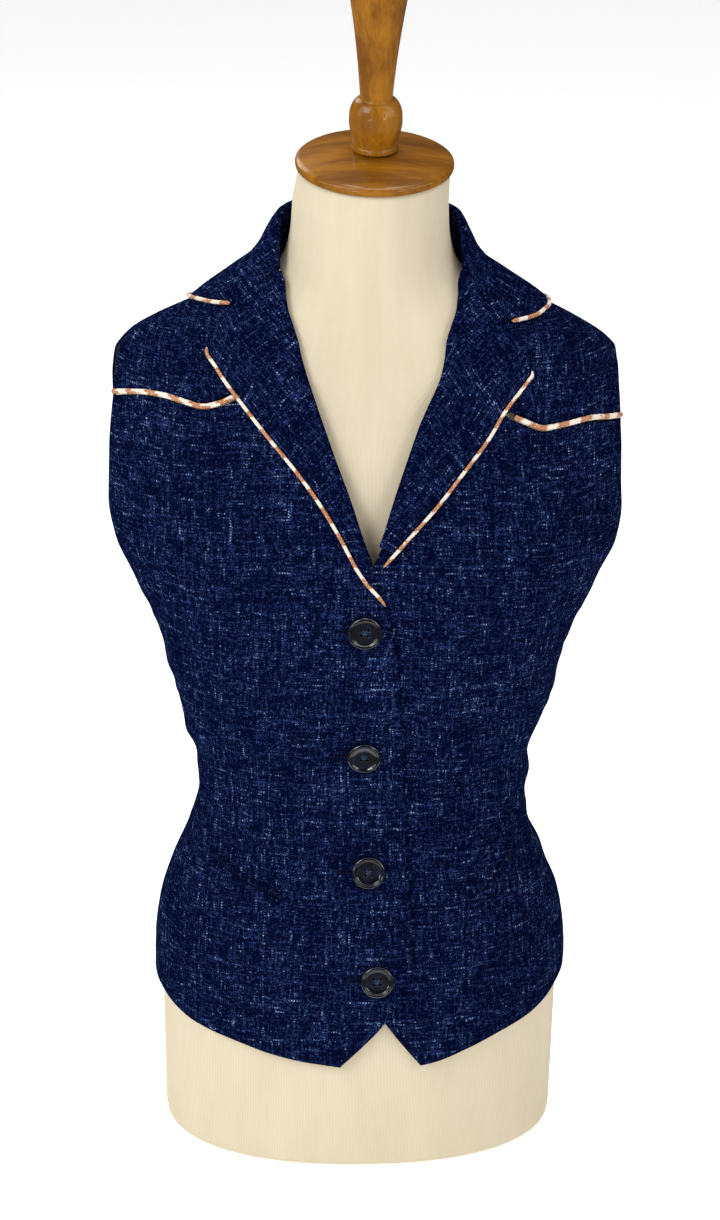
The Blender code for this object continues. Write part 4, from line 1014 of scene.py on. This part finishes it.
def arched(start, end, away, height, steps=6):
    """A stitch: it rises out of the cloth, crosses and goes back in."""
    t = np.linspace(0, 1, steps)[:, None]
    return start * (1 - t) + end * t + away * height * np.sin(np.pi * t)


def strip(count, low=0, high=1):
    """Faces between two rows of points, given by the numbers of the rows."""
    low, high = low * count, high * count
    return [(low + a, low + a + 1, high + a + 1, high + a) for a in range(count - 1)]


# %% Welts, slits and bars
WELT_HALF, WELT_RISE, WELT_ROUND, WELT_UNDER, WELT_POINTS = 1.7, 1.6, 0.35, 0.4, 60
BAR_PLACES = (2, 4, 6, 8, -4, -6, -8)  # points of the line that a stitch of the bars crosses
for word, table, side in SIDES:
    line = run(table["welt"], WELT_POINTS, side)
    across = np.linspace(-1, 1, 7)
    grid = np.stack([shift(line, side * WELT_HALF * t) for t in across])
    top = np.stack([on_cloth(row, WELT_RISE - WELT_ROUND * t ** 2) for row, t in zip(grid, across)])
    low = np.stack([on_cloth(row, WELT_UNDER) for row in grid])
    areas["welt_" + word] = grid_area(top)
    made["welt_" + word] = shell("welt_%s_strip" % word, top, low, flat_place(grid[..., 0], grid[..., 1]))
    rows = [shift(line, side * (WELT_HALF + d)) for d in (0.25, 1.35)]
    points = np.concatenate([on_cloth(row, rise) for rise in (0.22, 0.05) for row in rows])
    made["slit_" + word] = add_mesh("pocket_slit_" + word, points, strip(WELT_POINTS) + strip(WELT_POINTS, 3, 2))
    bars = []
    for k in BAR_PLACES:
        ends = [shift(np.stack([line[k], line[k] + (0.01, 0)]), d)[0] for d in (-2.6, 3.4)]
        a, b = (lift(*end, 1.3) for end in ends)
        bars.append((arched(a, b, outward(*line[k]), 0.6), THREAD))
    made["bars_" + word] = bundle("pocket_bars_" + word, bars)

# %% [markdown]
# ## Buttons
#
# The buttons are resin, 23 mm across, with a raised rim, a groove and a dished middle with four holes. The rim and
# dish are turned from one profile, and the holes are cut by filling the middle disc between its edge and four
# small rings. The cross of thread holds each button on a wound stem, a little off the cloth.

# %% Button shape
BUTTONS = ((-6.0, 413.0), (-3.8, 313.0), (0.5, 226.0), (7.0, 149.0))  # off centre, height
BUTTON_PROFILE = ((9.6, 0.0), (10.9, 0.5), (11.5, 1.6), (11.5, 2.7), (11.25, 3.5), (10.7, 4.0), (10.1, 4.15),
                  (9.5, 3.95), (9.0, 3.4), (8.5, 2.8), (7.6, 2.5), (6.2, 2.27), (5.0, 2.2), (4.6, 2.2))
HOLE_PROFILE = ((1.4, 0.0), (1.15, 0.25), (1.15, 1.9), (1.27, 2.1), (1.45, 2.2))
RING_STEPS, HOLE_STEPS = 64, 20
HOLE_REACH, STAND_OFF = 2.6, 0.55


def angle_at(x, height):
    """Angle of the front's point that lies this far off centre."""
    angles = np.linspace(-40, 40, 801)
    return float(np.interp(x, skin(angles, np.full(801, height))[:, 0], angles))


def button_frame(x, height):
    """Middle of a button's back, and its directions to the side, up and out of the cloth."""
    angle = angle_at(x, height)
    axis = outward(angle, height)
    aside = np.cross((0, 0, 1.0), axis)
    aside /= np.linalg.norm(aside)
    return lift(angle, height, STAND_OFF), aside, np.cross(axis, aside), axis


def turned_rings(shape, profile, steps, x=0.0, y=0.0, inward=False):
    """Rings of a profile turned about an upright axis, and the faces between them."""
    turn = [2 * math.pi * k / steps for k in range(steps)]
    rings = [[shape.verts.new((x + radius * math.cos(t), y + radius * math.sin(t), rise)) for t in turn]
             for radius, rise in profile]
    for low, high in zip(rings, rings[1:]):
        for k in range(steps):
            n = (k + 1) % steps
            corners = (low[k], low[n], high[n], high[k])
            shape.faces.new(corners[::-1] if inward else corners).smooth = True
    return rings[0], rings[-1]


def turned_button(name, x, height):
    """A button from its outer profile and four holes, its two flat faces filled between them."""
    centre, aside, upright, axis = button_frame(x, height)
    shape = bmesh.new()
    ends = [turned_rings(shape, finer(BUTTON_PROFILE, 3), RING_STEPS)]
    for turn in np.arange(4) * math.pi / 2 + math.pi / 4:
        a, b = HOLE_REACH * math.cos(turn), HOLE_REACH * math.sin(turn)
        ends.append(turned_rings(shape, HOLE_PROFILE, HOLE_STEPS, a, b, True))
    for level in zip(*ends):
        edges = [shape.edges.get((ring[k - 1], ring[k])) for ring in level for k in range(len(ring))]
        bmesh.ops.triangle_fill(shape, use_beauty=True, use_dissolve=False, edges=edges)
    for vertex in shape.verts:
        a, b, c = vertex.co
        vertex.co = (centre + aside * a + upright * b + axis * c) * MM
    bmesh.ops.recalc_face_normals(shape, faces=shape.faces)
    if shape.calc_volume(signed=True) < 0:
        bmesh.ops.reverse_faces(shape, faces=shape.faces)
    mesh = bpy.data.meshes.new(name)
    shape.to_mesh(mesh)
    shape.free()
    return as_piece(name, mesh)


def button_thread(name, x, height):
    """Two bars of thread that cross between the holes, and the wound stem under the button."""
    centre, aside, upright, axis = button_frame(x, height)
    strands = []
    for cross, turn in enumerate((math.pi / 4, 3 * math.pi / 4)):
        way = aside * math.cos(turn) + upright * math.sin(turn)
        beside = np.cross(axis, way)
        for k in (-1, 0, 1):
            line = [(-HOLE_REACH + 0.1, 0.6), (-HOLE_REACH + 0.1, 1.9), (-HOLE_REACH + 0.7, 2.55 + 0.3 * cross),
                    (0, 2.75 + 0.4 * cross + 0.1 * (k == 0)), (HOLE_REACH - 0.7, 2.55 + 0.3 * cross),
                    (HOLE_REACH - 0.1, 1.9), (HOLE_REACH - 0.1, 0.6)]
            path = np.array([centre + way * a + axis * b + beside * k * 0.5 for a, b in line])
            strands.append((even(path, 0.4)[0], 0.3))
    turn = np.linspace(0, 6 * np.pi, 60)[:, None]
    climb = np.linspace(-0.35, -0.1, 60)[:, None]
    strands.append((centre + 1.5 * (aside * np.cos(turn) + upright * np.sin(turn)) + axis * climb, 0.22))
    return bundle(name, strands, 8)


for number, (x, height) in enumerate(BUTTONS, 1):
    made["button_%d" % number] = turned_button("button_%d_resin" % number, x, height)
    made["thread_%d" % number] = button_thread("button_%d_thread" % number, x, height)

# %% [markdown]
# ## Buttonholes
#
# A worked buttonhole is a slit with a row of close stitches along both sides and a bar across its end. Only the end
# that reaches past the button shows, to the wearer's right of it, on the cloth that laps over.

# %% Worked buttonholes
HOLE_START, HOLE_END, PURL, PURL_STEP, SLIT_POINTS = -19.5, 4.0, 1.55, 0.62, 14


def on_front(x, height, rise):
    """A point over the front's cloth and the way out of it."""
    angle = angle_at(x, height)
    return lift(angle, height, rise), outward(angle, height)


for number, (x, height) in enumerate(BUTTONS, 1):
    stitches = []
    for k, offset in enumerate(np.arange(HOLE_START, HOLE_END, PURL_STEP)):
        for way in (-1, 1):
            inner, out = on_front(x + offset, height + way * 0.45, 0.12)
            outer, _ = on_front(x + offset + 0.12, height + way * (PURL + 0.12 * math.sin(k * 2.1)), -0.02)
            stitches.append((arched(inner, outer, out, 0.42, 5), THREAD))
    for offset in (-0.55, 0.0, 0.55):
        low, out = on_front(x + HOLE_START - 0.6 + offset, height - 1.7, 0.0)
        high, _ = on_front(x + HOLE_START - 0.6 + offset, height + 1.7, 0.0)
        stitches.append((arched(low, high, out, 0.75), THREAD * 1.2))
    made["buttonhole_%d" % number] = bundle("buttonhole_%d_stitches" % number, stitches, 5)
    # The slit is a dark strip over the cloth: painted shade in the buttonhole's opening.
    line = [on_front(x + o, height + w, 0.13)[0] for w in (-0.42, 0.42)
            for o in np.linspace(HOLE_START, HOLE_END, SLIT_POINTS)]
    made["hole_slit_%d" % number] = add_mesh("buttonhole_%d_slit" % number, line, strip(SLIT_POINTS))

# %% [markdown]
# ## Turned wood
#
# The cap that closes the neck and the finial on it are turned on a lathe, so each is one profile spun round an axis
# that leans a little forward. The profile is rounded between its points, and a flat place is not needed: the grain
# is solid and comes from the place in space.

# %% Cap and finial
CAP_PROFILE = ((0.0, 0.0), (50.8, 0.0), (52.3, 1.0), (52.6, 2.6), (52.3, 4.4), (50.8, 5.7), (44.0, 7.3), (34.0, 9.2),
               (20.0, 11.2), (0.0, 12.4))
FINIAL_PROFILE = ((0.0, 0.0), (14.8, 0.0), (15.5, 1.2), (15.2, 3.2), (14.8, 4.2), (15.4, 8.0), (16.7, 13.0),
                  (17.6, 19.0), (17.4, 25.0), (16.1, 30.0), (13.6, 33.8), (11.0, 35.2), (10.7, 36.2), (11.8, 50.0),
                  (13.9, 70.0), (16.6, 90.0), (19.0, 106.0), (19.4, 110.0), (18.2, 113.5), (10.0, 116.0), (0.0, 116.6))
TURN_STEPS = 128


def spun(name, profile, base):
    """A profile turned about the neck's leaning axis."""
    profile = finer(profile, 6)[1:-1]
    turn = 2 * np.pi * np.arange(TURN_STEPS) / TURN_STEPS
    points = np.array([(r * np.cos(turn), r * np.sin(turn), z + 0 * turn) for r, z in profile]).transpose(0, 2, 1)
    points = np.concatenate([points.reshape(-1, 3), [[0, 0, profile[0][1]], [0, 0, profile[-1][1]]]])
    return add_mesh(name, leaning(*points.T) + base, wound(len(profile), TURN_STEPS))


made["neck_cap"] = spun("neck_cap_wood", CAP_PROFILE, NECK_TOP)
made["finial"] = spun("finial_wood", FINIAL_PROFILE, NECK_TOP + leaning(0.0, 0.0, CAP_PROFILE[-1][1] + RIM))

# %% [markdown]
# ## Finishes
#
# Effects are shader groups: slub denim, blotched print, wood grain and jersey ribs. Each takes a place on the
# surface and gives out colour, roughness and height, which the material's own shader turns into a surface.

# %% Groups and materials
SOCKETS = {"v": "NodeSocketVector", "c": "NodeSocketColor", "f": "NodeSocketFloat"}


def new_group(name, colours=(), values=(), vectors=()):
    """An empty group that takes a place and the named inputs, with its input sockets."""
    tree = bpy.data.node_groups.new(name, "ShaderNodeTree")
    for kind, labels in (("v", ("Place",) + vectors), ("c", colours), ("f", values)):
        for label in labels:
            tree.interface.new_socket(name=label, in_out="INPUT", socket_type=SOCKETS[kind])
    return tree, tree.nodes.new("NodeGroupInput").outputs


def give_out(tree, *results):
    """The group's colour, roughness and height."""
    kinds = (("Color", "c"), ("Roughness", "f"), ("Height", "f"))
    for label, kind in kinds:
        tree.interface.new_socket(name=label, in_out="OUTPUT", socket_type=SOCKETS[kind])
    end = tree.nodes.new("NodeGroupOutput")
    for (label, _), result in zip(kinds, results):
        tree.links.new(result, end.inputs[label])
    return tree


def material(name, group, values, place, bump, reach=0.0002, **shader_values):
    """A material of one Principled shader, its colour, roughness and bump from a group."""
    finish = bpy.data.materials.new(name)
    finish.use_nodes = True
    tree = finish.node_tree
    shader = tree.nodes["Principled BSDF"]
    for key, value in shader_values.items():
        shader.inputs[key.replace("_", " ").title().replace("Ior", "IOR")].default_value = value
    if place == "object":
        where = add(tree, "TexCoord").outputs["Object"]
    else:
        where = add(tree, "UVMap", uv_map=place).outputs[0]
    effect = add(tree, "Group", node_tree=group)
    tree.links.new(where, effect.inputs["Place"])
    for key, value in values.items():
        effect.inputs[key].default_value = value
    tree.links.new(effect.outputs["Color"], shader.inputs["Base Color"])
    tree.links.new(effect.outputs["Roughness"], shader.inputs["Roughness"])
    relief = add(tree, "Bump", {"Strength": bump, "Distance": reach, "Height": effect.outputs["Height"]})
    tree.links.new(relief.outputs[0], shader.inputs["Normal"])
    return finish


# %% [markdown]
# ## Slub denim
#
# The vest's cloth is a plain weave of dark navy yarns with lighter slub yarns in both directions. An image of it
# would blur close by, and loose flecks of noise would float over the weave. So the yarns themselves are made:
# every yarn has a number, its number and the place along it give its shade, and at each crossing the warp or the
# weft lies on top in turn. A light yarn then shows as a broken, dotted line, as it does on the real cloth.

# %% Slub denim group
def make_slub_denim():
    tree, given = new_group("slub_denim", ("Ground", "Yarn", "Light Yarn"), ("Pitch",))
    place = given["Place"]
    patchy = calc(tree, "MULTIPLY_ADD", speckle(tree, place, (24, 24, 1)), 0.07, -0.035)
    metres = add(tree, "SeparateXYZ", {0: place}).outputs
    wander = calc(tree, "MULTIPLY_ADD", speckle(tree, place, (120, 120, 1), 1.0), 0.0012, -0.0006)
    counts = [calc(tree, "DIVIDE", calc(tree, "ADD", metres[k], wander), given["Pitch"]) for k in (0, 1)]
    numbers = [calc(tree, "FLOOR", count) for count in counts]
    shades = []
    for own, along in ((0, 1), (1, 0)):
        number = calc(tree, "MULTIPLY", numbers[own], 3.17)
        yarn = add(tree, "CombineXYZ", {0: number, 1: metres[along], 2: 17.0 * own}).outputs[0]
        slub = calc(tree, "MULTIPLY", speckle(tree, yarn, (1, 75, 1), 1.0), 0.45)
        knots = calc(tree, "MULTIPLY_ADD", speckle(tree, yarn, (1, 330, 1), 1.0), 0.40, slub)
        shades.append(calc(tree, "MULTIPLY_ADD", speckle(tree, yarn, (1, 9, 1), 0.0), 0.15, knots))
    crossing = calc(tree, "FRACT", calc(tree, "MULTIPLY", calc(tree, "ADD", *numbers), 0.5))
    weft_on_top = calc(tree, "GREATER_THAN", crossing, 0.25)
    shade = add(tree, "Mix", {0: weft_on_top, 2: shades[0], 3: shades[1]}, data_type="FLOAT").outputs[0]
    shade = calc(tree, "ADD", shade, patchy)
    fleck, light = band(tree, shade, 0.50, 0.60), band(tree, shade, 0.59, 0.72)
    waves = [calc(tree, "ABSOLUTE", calc(tree, "SINE", calc(tree, "MULTIPLY", count, math.pi))) for count in counts]
    yarn_relief_and_shade = calc(tree, "MULTIPLY", *waves)
    # Each yarn is painted lighter on its crown and darker in the gaps between yarns: painted shade of the round yarns.
    # The same wave is also the weave's height.
    ground = blend(tree, calc(tree, "MULTIPLY", yarn_relief_and_shade, 0.12), given["Ground"], given["Yarn"])
    colour = blend(tree, calc(tree, "MULTIPLY", fleck, 0.9), ground, given["Yarn"])
    colour = blend(tree, calc(tree, "MULTIPLY", light, 0.9), colour, given["Light Yarn"])
    return give_out(tree, colour, calc(tree, "MULTIPLY_ADD", fleck, -0.1, 0.9),
                    calc(tree, "MULTIPLY_ADD", fleck, 0.25, yarn_relief_and_shade))


DENIM = make_slub_denim()


def woven(ground, yarn, light_yarn, pitch):
    """Colours of a cloth and the distance of its yarns in metres."""
    return {"Ground": ground + (1,), "Yarn": yarn + (1,), "Light Yarn": light_yarn + (1,), "Pitch": pitch}


denim = material("slub_denim_navy", DENIM,
                 woven((0.0003, 0.0009, 0.0095), (0.014, 0.027, 0.100), (0.21, 0.31, 0.50), 0.00092),
                 "weave", 0.5, 0.0003, specular_ior_level=0.0)
lining = material("lining_navy_satin", DENIM,
                  woven((0.006, 0.010, 0.030), (0.009, 0.014, 0.040), (0.012, 0.018, 0.05), 0.0004),
                  "weave", 0.1, 0.0001, specular_ior_level=0.5, sheen_weight=0.1)
# Slits of pockets and buttonholes are dark cloth laid over their openings: painted shade.
slit_painted_shade = material("slit_shadow_cloth", DENIM,
                     woven((0.0012, 0.002, 0.006), (0.002, 0.004, 0.012), (0.004, 0.007, 0.02), 0.0009),
                     "weave", 0.1, specular_ior_level=0.0)

# %% [markdown]
# ## Blotched print of the piping
#
# The strip is printed in cream and orange-tan blotches. Along a thin cord they show as patches of 6 to 10 mm that take
# turns, with ragged borders and small cream specks in the tan. A wave along the cord, pushed about by noise, gives
# the turns, and a fine noise tears its border.

# %% Blotched print group
THREAD_PITCH = 0.0006


def make_blotches():
    tree, given = new_group("blotched_print", ("Cream", "Tan"), ("Period",))
    place = given["Place"]
    along, round_cord, _ = add(tree, "SeparateXYZ", {0: place}).outputs
    sway = calc(tree, "MULTIPLY_ADD", speckle(tree, place, (85, 30, 1), 2.0), 7.5, -3.7)
    slant = calc(tree, "MULTIPLY_ADD", round_cord, 0.4, along)
    wave = calc(tree, "SINE", calc(tree, "ADD", calc(tree, "DIVIDE", slant, given["Period"]), sway))
    torn = calc(tree, "MULTIPLY_ADD", speckle(tree, place, (620, 620, 1), 3.0, 0.7), 2.6, -1.3)
    tan = band(tree, calc(tree, "ADD", wave, torn), -0.02, 0.22)
    specks = band(tree, speckle(tree, place, (1000, 1000, 1), 2.0, 0.7), 0.54, 0.62)
    shade = band(tree, speckle(tree, place, (300, 500, 1), 3.0), 0.35, 0.7)
    brown = blend(tree, calc(tree, "MULTIPLY", shade, 0.4), given["Tan"], (0.26, 0.085, 0.022, 1))
    brown = blend(tree, calc(tree, "MULTIPLY", specks, 0.6), brown, given["Cream"])
    return give_out(tree, blend(tree, tan, given["Cream"], brown), calc(tree, "MULTIPLY_ADD", shade, 0.1, 0.6),
                    wave_of(tree, along, 2 * math.pi / THREAD_PITCH))


print_cloth = material("piping_blotched_print", make_blotches(), {
    "Cream": (0.66, 0.58, 0.49, 1), "Tan": (0.35, 0.118, 0.030, 1), "Period": 0.0027}, "weave", 0.25, 0.0001,
    sheen_weight=0.1)

# %% [markdown]
# ## Varnished wood
#
# Wood is solid, so its grain is a noise in space that is long in the direction of the log: up the finial, and
# across the cap, which is cut from a plank. Varnish is a clear coat over it.

# %% Wood grain group
def make_wood():
    tree, given = new_group("wood_grain", ("Pale", "Dark"), vectors=("Stretch",))
    along = add(tree, "VectorMath", {0: given["Place"], 1: given["Stretch"]}, operation="MULTIPLY").outputs[0]
    broad = speckle(tree, along, (1, 1, 1), 3.0, 0.55)
    fine = speckle(tree, along, (6, 6, 3), 4.0, 0.7)
    pores = band(tree, speckle(tree, along, (14, 14, 3.5), 1.0), 0.60, 0.70)
    figure = calc(tree, "ADD", calc(tree, "MULTIPLY", broad, 0.65), calc(tree, "MULTIPLY", fine, 0.35))
    colour = blend(tree, band(tree, figure, 0.36, 0.64), given["Dark"], given["Pale"])
    return give_out(tree, blend(tree, calc(tree, "MULTIPLY", pores, 0.45), colour, given["Dark"]),
                    calc(tree, "MULTIPLY_ADD", fine, 0.2, 0.26), calc(tree, "SUBTRACT", 1.0, pores))


WOOD = make_wood()
cap_wood, finial_wood = (
    material(name, WOOD, {"Pale": (0.29, 0.115, 0.0040, 1), "Dark": (0.14, 0.047, 0.0010, 1), "Stretch": stretch},
             "object", 0.08, coat_weight=0.3, coat_roughness=0.1, specular_ior_level=0.15)
    for name, stretch in (("cap_varnished_wood", (9, 75, 75)), ("finial_varnished_wood", (75, 75, 9))))

# %% [markdown]
# ## Cream jersey of the form
#
# The form is covered in a stretched cotton jersey with very fine ribs that run up the body. The UV map "ribs" holds
# the share of the turn and the height, so the ribs keep their number as the form narrows, as knitting does.

# %% Jersey group
RIBS, STITCHES_IN_A_METRE = 620, 900


def make_jersey():
    tree, given = new_group("jersey_ribs", ("Yarn", "Shade"))
    turn, height, _ = add(tree, "SeparateXYZ", {0: given["Place"]}).outputs
    rib = wave_of(tree, turn, 2 * math.pi * RIBS)
    stitch = wave_of(tree, height, 2 * math.pi * STITCHES_IN_A_METRE)
    worn = speckle(tree, given["Place"], (26, 9, 1), 3.0)
    # The ribs are painted lighter on their crowns and darker in their grooves: painted shade of the rib relief. The
    # broad worn noise is the jersey's own uneven tone.
    shade = calc(tree, "ADD", calc(tree, "MULTIPLY", rib, 0.45), calc(tree, "MULTIPLY", worn, 0.5))
    return give_out(tree, blend(tree, shade, given["Shade"], given["Yarn"]),
                    calc(tree, "MULTIPLY_ADD", worn, 0.1, 0.82), calc(tree, "MULTIPLY_ADD", stitch, 0.2, rib))


jersey = material("form_cream_jersey", make_jersey(), {"Yarn": (0.67, 0.605, 0.465, 1), "Shade": (0.46, 0.38, 0.26, 1)},
                  "ribs", 0.35, 0.0003, specular_ior_level=0.1)

# %% [markdown]
# ## Resin and thread
#
# The buttons are almost black resin with a trace of blue marbling under a polished face. The sewing thread is navy,
# twisted, and a little lighter than the cloth, so the purls of the buttonholes can be read.

# %% Resin and thread groups
def make_resin():
    tree, given = new_group("marbled_resin", ("Ground", "Vein"))
    vein = band(tree, speckle(tree, given["Place"], (160, 160, 160), 4.0, 0.6), 0.45, 0.68)
    scuff = speckle(tree, given["Place"], (1800, 400, 1800), 2.0)
    return give_out(tree, blend(tree, vein, given["Ground"], given["Vein"]),
                    calc(tree, "MULTIPLY_ADD", scuff, 0.06, 0.03), scuff)


def make_thread():
    tree, given = new_group("twisted_thread", ("Ground", "Light"))
    along, round_thread, _ = add(tree, "SeparateXYZ", {0: given["Place"]}).outputs
    slant = calc(tree, "ADD", calc(tree, "MULTIPLY", along, 5200), calc(tree, "MULTIPLY", round_thread, 6500))
    # The twist is painted as stripes, lighter on the plies and darker in the grooves between them: painted shade of the
    # twist. The same wave is its height.
    twist = wave_of(tree, slant, 1.0)
    return give_out(tree, blend(tree, twist, given["Ground"], given["Light"]),
                    calc(tree, "MULTIPLY_ADD", twist, -0.15, 0.7), twist)


RESIN, TWIST = make_resin(), make_thread()
resin = material("button_dark_resin", RESIN,
                 {"Ground": (0.0016, 0.0020, 0.0045, 1), "Vein": (0.004, 0.007, 0.020, 1)},
                 "object", 0.02, 0.00005, specular_ior_level=0.6)
thread = material("thread_navy", TWIST, {"Ground": (0.001, 0.002, 0.010, 1), "Light": (0.006, 0.012, 0.045, 1)},
                  "weave", 0.3, 0.0001, specular_ior_level=0.05)
button_yarn = material("button_thread_blue", TWIST,
                       {"Ground": (0.004, 0.010, 0.028, 1), "Light": (0.03, 0.065, 0.12, 1)},
                       "weave", 0.3, 0.0001, specular_ior_level=0.1)

# %% Dress every piece
lined, doubled = (denim, lining), (denim, denim)
finishes = {"front": lined, "yoke": lined, "back": lined, "lapel": doubled, "collar": doubled, "welt": doubled,
            "lapel_piping": (print_cloth,), "yoke_piping": (print_cloth,), "collar_piping": (print_cloth,),
            "slit": (slit_painted_shade,), "hole_slit": (slit_painted_shade,), "bars": (thread,), "buttonhole": (thread,),
            "thread": (button_yarn,), "button": (resin,), "neck_cap": (cap_wood,), "finial": (finial_wood,),
            "form_torso": (jersey,)}
made["form_torso"] = form
for node, piece in made.items():
    stem = node if node in finishes else node.rsplit("_", 1)[0]
    for slot in finishes[stem]:
        piece.data.materials.append(slot)
    if node in frame["nodes"]:
        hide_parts(node)
print("areas in square metres:", {name: round(area, 4) for name, area in areas.items()})

# %% [markdown]
# ## Cut of each piece
#
# A sheet of cloth keeps the area it was cut to, however it is worn. So each panel is declared with the rectangle
# that its flat pattern fits into and the area inside its outline, both without seam allowances, and with what
# is sewn on it. The fronts, yokes and back lie on the form, the lapels and the collar are folded over.

CUTS = {  # width and length in metres, area in square metres, how it is held, what it lies on, what is sewn on it
    "front_right": (0.255, 0.506, 0.0958, "draped", ["form_torso"],
                    ["yoke_piping_right", "welt_right", "slit_right", "bars_right"]
                    + [word + "_%d" % n for word in ("buttonhole", "hole_slit") for n in (1, 2, 3, 4)]),
    "front_left": (0.252, 0.501, 0.0917, "draped", ["form_torso"],
                   ["yoke_piping_left", "welt_left", "slit_left", "bars_left"]
                   + ["thread_%d" % n for n in (1, 2, 3, 4)]),
    "yoke_right": (0.145, 0.140, 0.0099, "draped", ["form_torso"], []),
    "yoke_left": (0.145, 0.153, 0.0115, "draped", ["form_torso"], []),
    "back": (0.412, 0.600, 0.1992, "draped", ["form_torso"], []),
    "lapel_right": (0.076, 0.180, 0.0073, "folded", ["front_right", "yoke_right"], ["lapel_piping_right"]),
    "lapel_left": (0.087, 0.156, 0.0075, "folded", ["front_left", "yoke_left"], ["lapel_piping_left"]),
    "collar": (0.342, 0.117, 0.0300, "folded", ["back", "yoke_right", "yoke_left"], ["collar_piping"]),
}
for node, (width, length, area, held, below, sewn) in CUTS.items():
    print(node, "cut to", width, "x", length, "m, area", area, "measured", round(areas[node + "_cloth"], 4))

SLOT_OF = {"slit": "welt_%s", "bars": "welt_%s", "thread": "button_%s",
           "buttonhole": "front_right", "hole_slit": "front_right"}
for name, piece in made.items():
    stem, _, last = name.rpartition("_")
    slot = SLOT_OF.get(stem, name)
